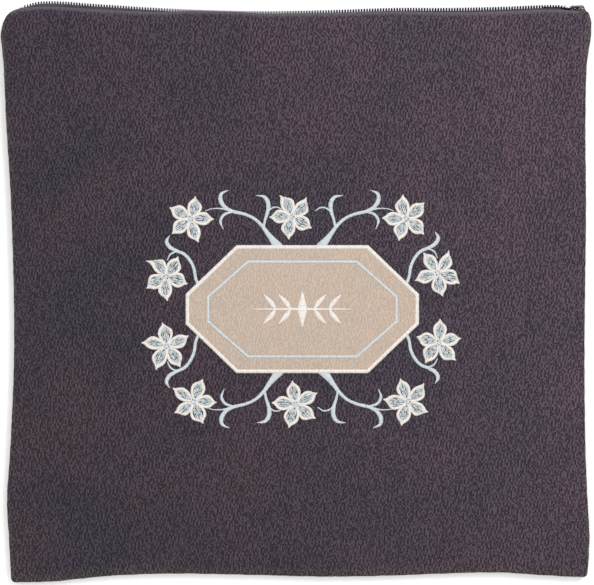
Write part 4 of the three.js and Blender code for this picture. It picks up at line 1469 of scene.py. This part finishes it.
    def petal_filling(self, petal: Petal) -> Strands:
        """Fills a petal loosely with rows of longer stitches that run along it."""
        inside = np.linspace(0.1, 0.86, 60)
        starts, ends = [], []
        for beside in np.arange(-4, 5) * self.filling_pitch:
            room = inside[PETAL_OUTLINE(inside) * petal.half - self.petal_band * 0.75 > abs(beside)]
            if len(room) < 4:
                continue
            low, high = -0.03 if abs(beside) < 0.9 else room[0] - 0.06, room[-1]
            parts = max(int((high - low) * petal.reach / self.filling_long), 1)
            cuts = np.linspace(low, high, parts + 1) + self.chance.normal(0, 0.02, parts + 1)
            shift = self.chance.normal(0, 0.16, (2, parts))
            first = beside * (0.55 + 0.45 * smoothstep(cuts[:-1], 0, 0.4)) + shift[0]
            starts.append(np.stack([cuts[:-1] * petal.reach, first]))
            ends.append(np.stack([cuts[1:] * petal.reach, beside + shift[1]]))
        start, end = (petal.on_emblem(*np.concatenate(places, axis=1)) for places in (starts, ends))
        return self.stitches(start, end, self.filling_rise)

    def flower(self, flower: Flower) -> tuple[Strands, Strands]:
        """Stitches one flower.

        Args:
            flower: its place and turn.

        Returns:
            The satin edges of its petals and the loose filling inside them.
        """
        centre = np.array([flower.x, flower.y]) * self.form.emblem_reach
        edges, fillings = [], []
        for number in range(5):
            aim = math.radians(flower.turn + number * 72 + self.chance.normal(0, 3.5))
            reach = self.petal_reach * self.chance.normal(1, 0.035)
            half = self.petal_wide / 2 * self.chance.normal(1, 0.05)
            petal = Petal(centre, aim, reach, half, math.tan(math.radians(self.chance.normal(3, 6))))
            edges += self.petal_edges(petal)
            fillings.append(self.petal_filling(petal))
        return Strands.joined(edges), Strands.joined(fillings)

    def vine(self, strokes: tuple[Stroke, ...], quarter: Quarter, slide: float, stretch: float) -> Strands:
        """Stitches one spray of vine in its quarter of the emblem."""
        reach_x, reach_y = self.form.emblem_reach
        bundles = []
        for stroke in strokes:
            x, y, wide = np.array(stroke).T
            x, y = (x * quarter.across + slide) * reach_x, y * quarter.up * stretch * reach_y
            bundles.append(self.column(x, y, wide * self.stroke_wide - self.stroke_less, self.vine_rise))
        return Strands.joined(bundles)

    def sprig(self) -> Strands:
        """Stitches the plain sprig in the middle of the patch."""
        signs = (-1, 1)
        strokes = [(SPRIG_STEM, 0, 1, 1), (SPRIG_HEART, 0, 1, 1)]
        leaves = ((place, across, up) for place in SPRIG_PLACES for across in signs for up in signs)
        strokes += [(SPRIG_LEAF, *leaf) for leaf in leaves]
        bundles = []
        for stroke, offset, across, up in strokes:
            x, y, wide = np.array(stroke).T
            x, y = (offset + x) * across * self.sprig_long / 2, y * up * self.sprig_tall / 2
            bundles.append(self.column(x, y, wide * self.sprig_tall, self.sprig_rise, self.patch_thick))
        return Strands.joined(bundles)

    def patch(self) -> bpy.types.Object:
        """Cuts the octagonal patch and lays it on the front."""
        (side_x, side_y), (top_x, top_y) = self.patch_size.corners(self.border_wide * self.patch_tuck)[:2]

        def move(points: np.ndarray) -> np.ndarray:
            y = points[:, 1] * top_y
            x = points[:, 0] * lerp(side_x, top_x, np.clip((np.abs(y) - side_y) / (top_y - side_y), 0, 1))
            edge = np.minimum(1 - np.abs(points[:, 0]), (1 - np.abs(points[:, 1])) * 0.6)
            soft = self.patch_thick * (0.7 + 0.3 * smoothstep(edge, 0, self.patch_rim))
            soft = soft + 0.15 * smoothstep(edge, self.patch_rim, 0.3)
            x, y = x + self.form.emblem_centre[0], y + self.form.emblem_centre[1]
            return self.form.metres(np.stack([x, y, self.form.surface(x, y) + soft], axis=1))

        mesh = grid_mesh("patch_cut", *self.patch_steps, move)
        piece = dressed(mesh, self.finishes["patch_cloth"], ("patch",))
        return walled(piece, self.patch_thick - self.patch_sink, -1)

    def stitch(self, bundle: Strands, name: str, yarn: Yarn, *nodes: str) -> None:
        """Puts a bundle of stitches in the scene."""
        dressed(bundle.mesh(name), self.finishes[yarn.value], nodes)

    def build(self) -> bpy.types.Object:
        """Builds the emblem and returns its patch."""
        patch = self.patch()
        border = self.band(self.patch_size, self.border_wide, self.border_rise)
        self.stitch(border, "patch_border_satin", Yarn.CREAM, "patch_border")
        line = self.band(self.inner_size, self.inner_wide, self.inner_rise, self.patch_thick)
        self.stitch(line, "inner_line_satin", Yarn.BLUE, "inner_line")
        self.stitch(self.sprig(), "sprig_satin", Yarn.CREAM, "sprig")
        for flower in FLOWERS:
            edges, filling = self.flower(flower)
            self.stitch(edges, f"{flower.name}_edges", Yarn.CREAM, flower.name)
            self.stitch(filling, f"{flower.name}_filling", Yarn.BLUE)
        for quarter in QUARTERS:
            end = self.vine((*END_VINE, quarter.tendril), quarter, quarter.slide, 1.0)
            self.stitch(end, f"end_vine_{quarter.name}_satin", Yarn.BLUE, f"end_vine_{quarter.name}")
            side = self.vine(SIDE_VINE, quarter, 0.0, quarter.stretch)
            self.stitch(side, f"side_vine_{quarter.name}_satin", Yarn.BLUE, f"side_vine_{quarter.name}")
        return patch


@dataclass
class Studio:
    """A white floor, soft light from above and the camera straight over the bag."""

    image_wide: int = 594
    scale: float = 0.61
    centre: tuple[float, float] = (0.6, -0.3)
    lens: float = 250.0
    sensor: float = 36.0
    bag_top: float = 0.008
    floor_half: float = 6
    floor_under: float = 0.0004
    floor_white: float = 0.96
    sky: float = 0.92

    def floor(self) -> None:
        """Lays the floor and gives it a nearly white finish."""
        mesh = grid_mesh("floor", 8, 8, lambda points: points * self.floor_half)
        floor = shown("floor", mesh)
        floor.location.z = -self.floor_under
        material, _, shader = Finish("paper", roughness=0.95, gloss=0.1).start()
        shader.inputs["Base Color"].default_value = (*[self.floor_white] * 3, 1)
        mesh.materials.append(material)

    def lamp(self, name: str, place: tuple[float, float, float], size: float, power: float) -> None:
        """Hangs a square soft light that points at the bag."""
        data = bpy.data.lights.new(name, "AREA")
        data.size, data.energy = size, power
        lamp = shown(name, data)
        lamp.location = place
        lamp.rotation_mode = "QUATERNION"
        lamp.rotation_quaternion = (-lamp.location).to_track_quat("-Z", "Y")

    def camera(self) -> bpy.types.Object:
        """Hangs the camera where the photo's pixels have their true size on the bag."""
        data = bpy.data.cameras.new("photo")
        data.lens, data.sensor_width, data.clip_end = self.lens, self.sensor, 50
        camera = shown("photo", data)
        distance = self.image_wide * self.scale * MM / 2 / (self.sensor / 2 / self.lens)
        camera.location = (self.centre[0] * MM, self.centre[1] * MM, distance + self.bag_top)
        return camera

    def build(self) -> None:
        """Builds floor, lights and camera."""
        self.floor()
        self.lamp("key", (1.1, 1.3, 1.9), 1.3, 42)
        self.lamp("fill", (-1.3, -0.6, 1.7), 1.8, 14)
        world = bpy.data.worlds.new("studio")
        world.use_nodes = True
        sky = world.node_tree.nodes["Background"].inputs
        sky["Color"].default_value, sky["Strength"].default_value = (1, 1, 1, 1), self.sky
        scene = bpy.context.scene
        scene.world, scene.camera = world, self.camera()
        scene.view_settings.view_transform = "Standard"


def main() -> None:
    """Builds the bag's looks in order."""
    logging.basicConfig(level=logging.INFO, format="%(message)s")
    form = BagForm()
    effects = Effects.built()
    finishes = {look.name: look.material(effects) for look in LOOKS}
    Studio().build()
    closure = Zip(form)
    back_hem = columns_of(BACK_HEM)["reveal"]
    front = ClothPanel(form, Side.FRONT, "front_panel", closure.front_hem, form.front_zip_base, 84)
    back = ClothPanel(form, Side.BACK, "back_panel", back_hem, form.back_zip_base, 44, nose_steps=6)
    front_cloth = front.build(finishes["cloth"])
    back_cloth = back.build(finishes["back_cloth"])
    closure.build(finishes)
    Hardware().build(finishes)
    patch = Embroidery(form, finishes).build()
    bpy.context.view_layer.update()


if __name__ == "__main__":
    main()
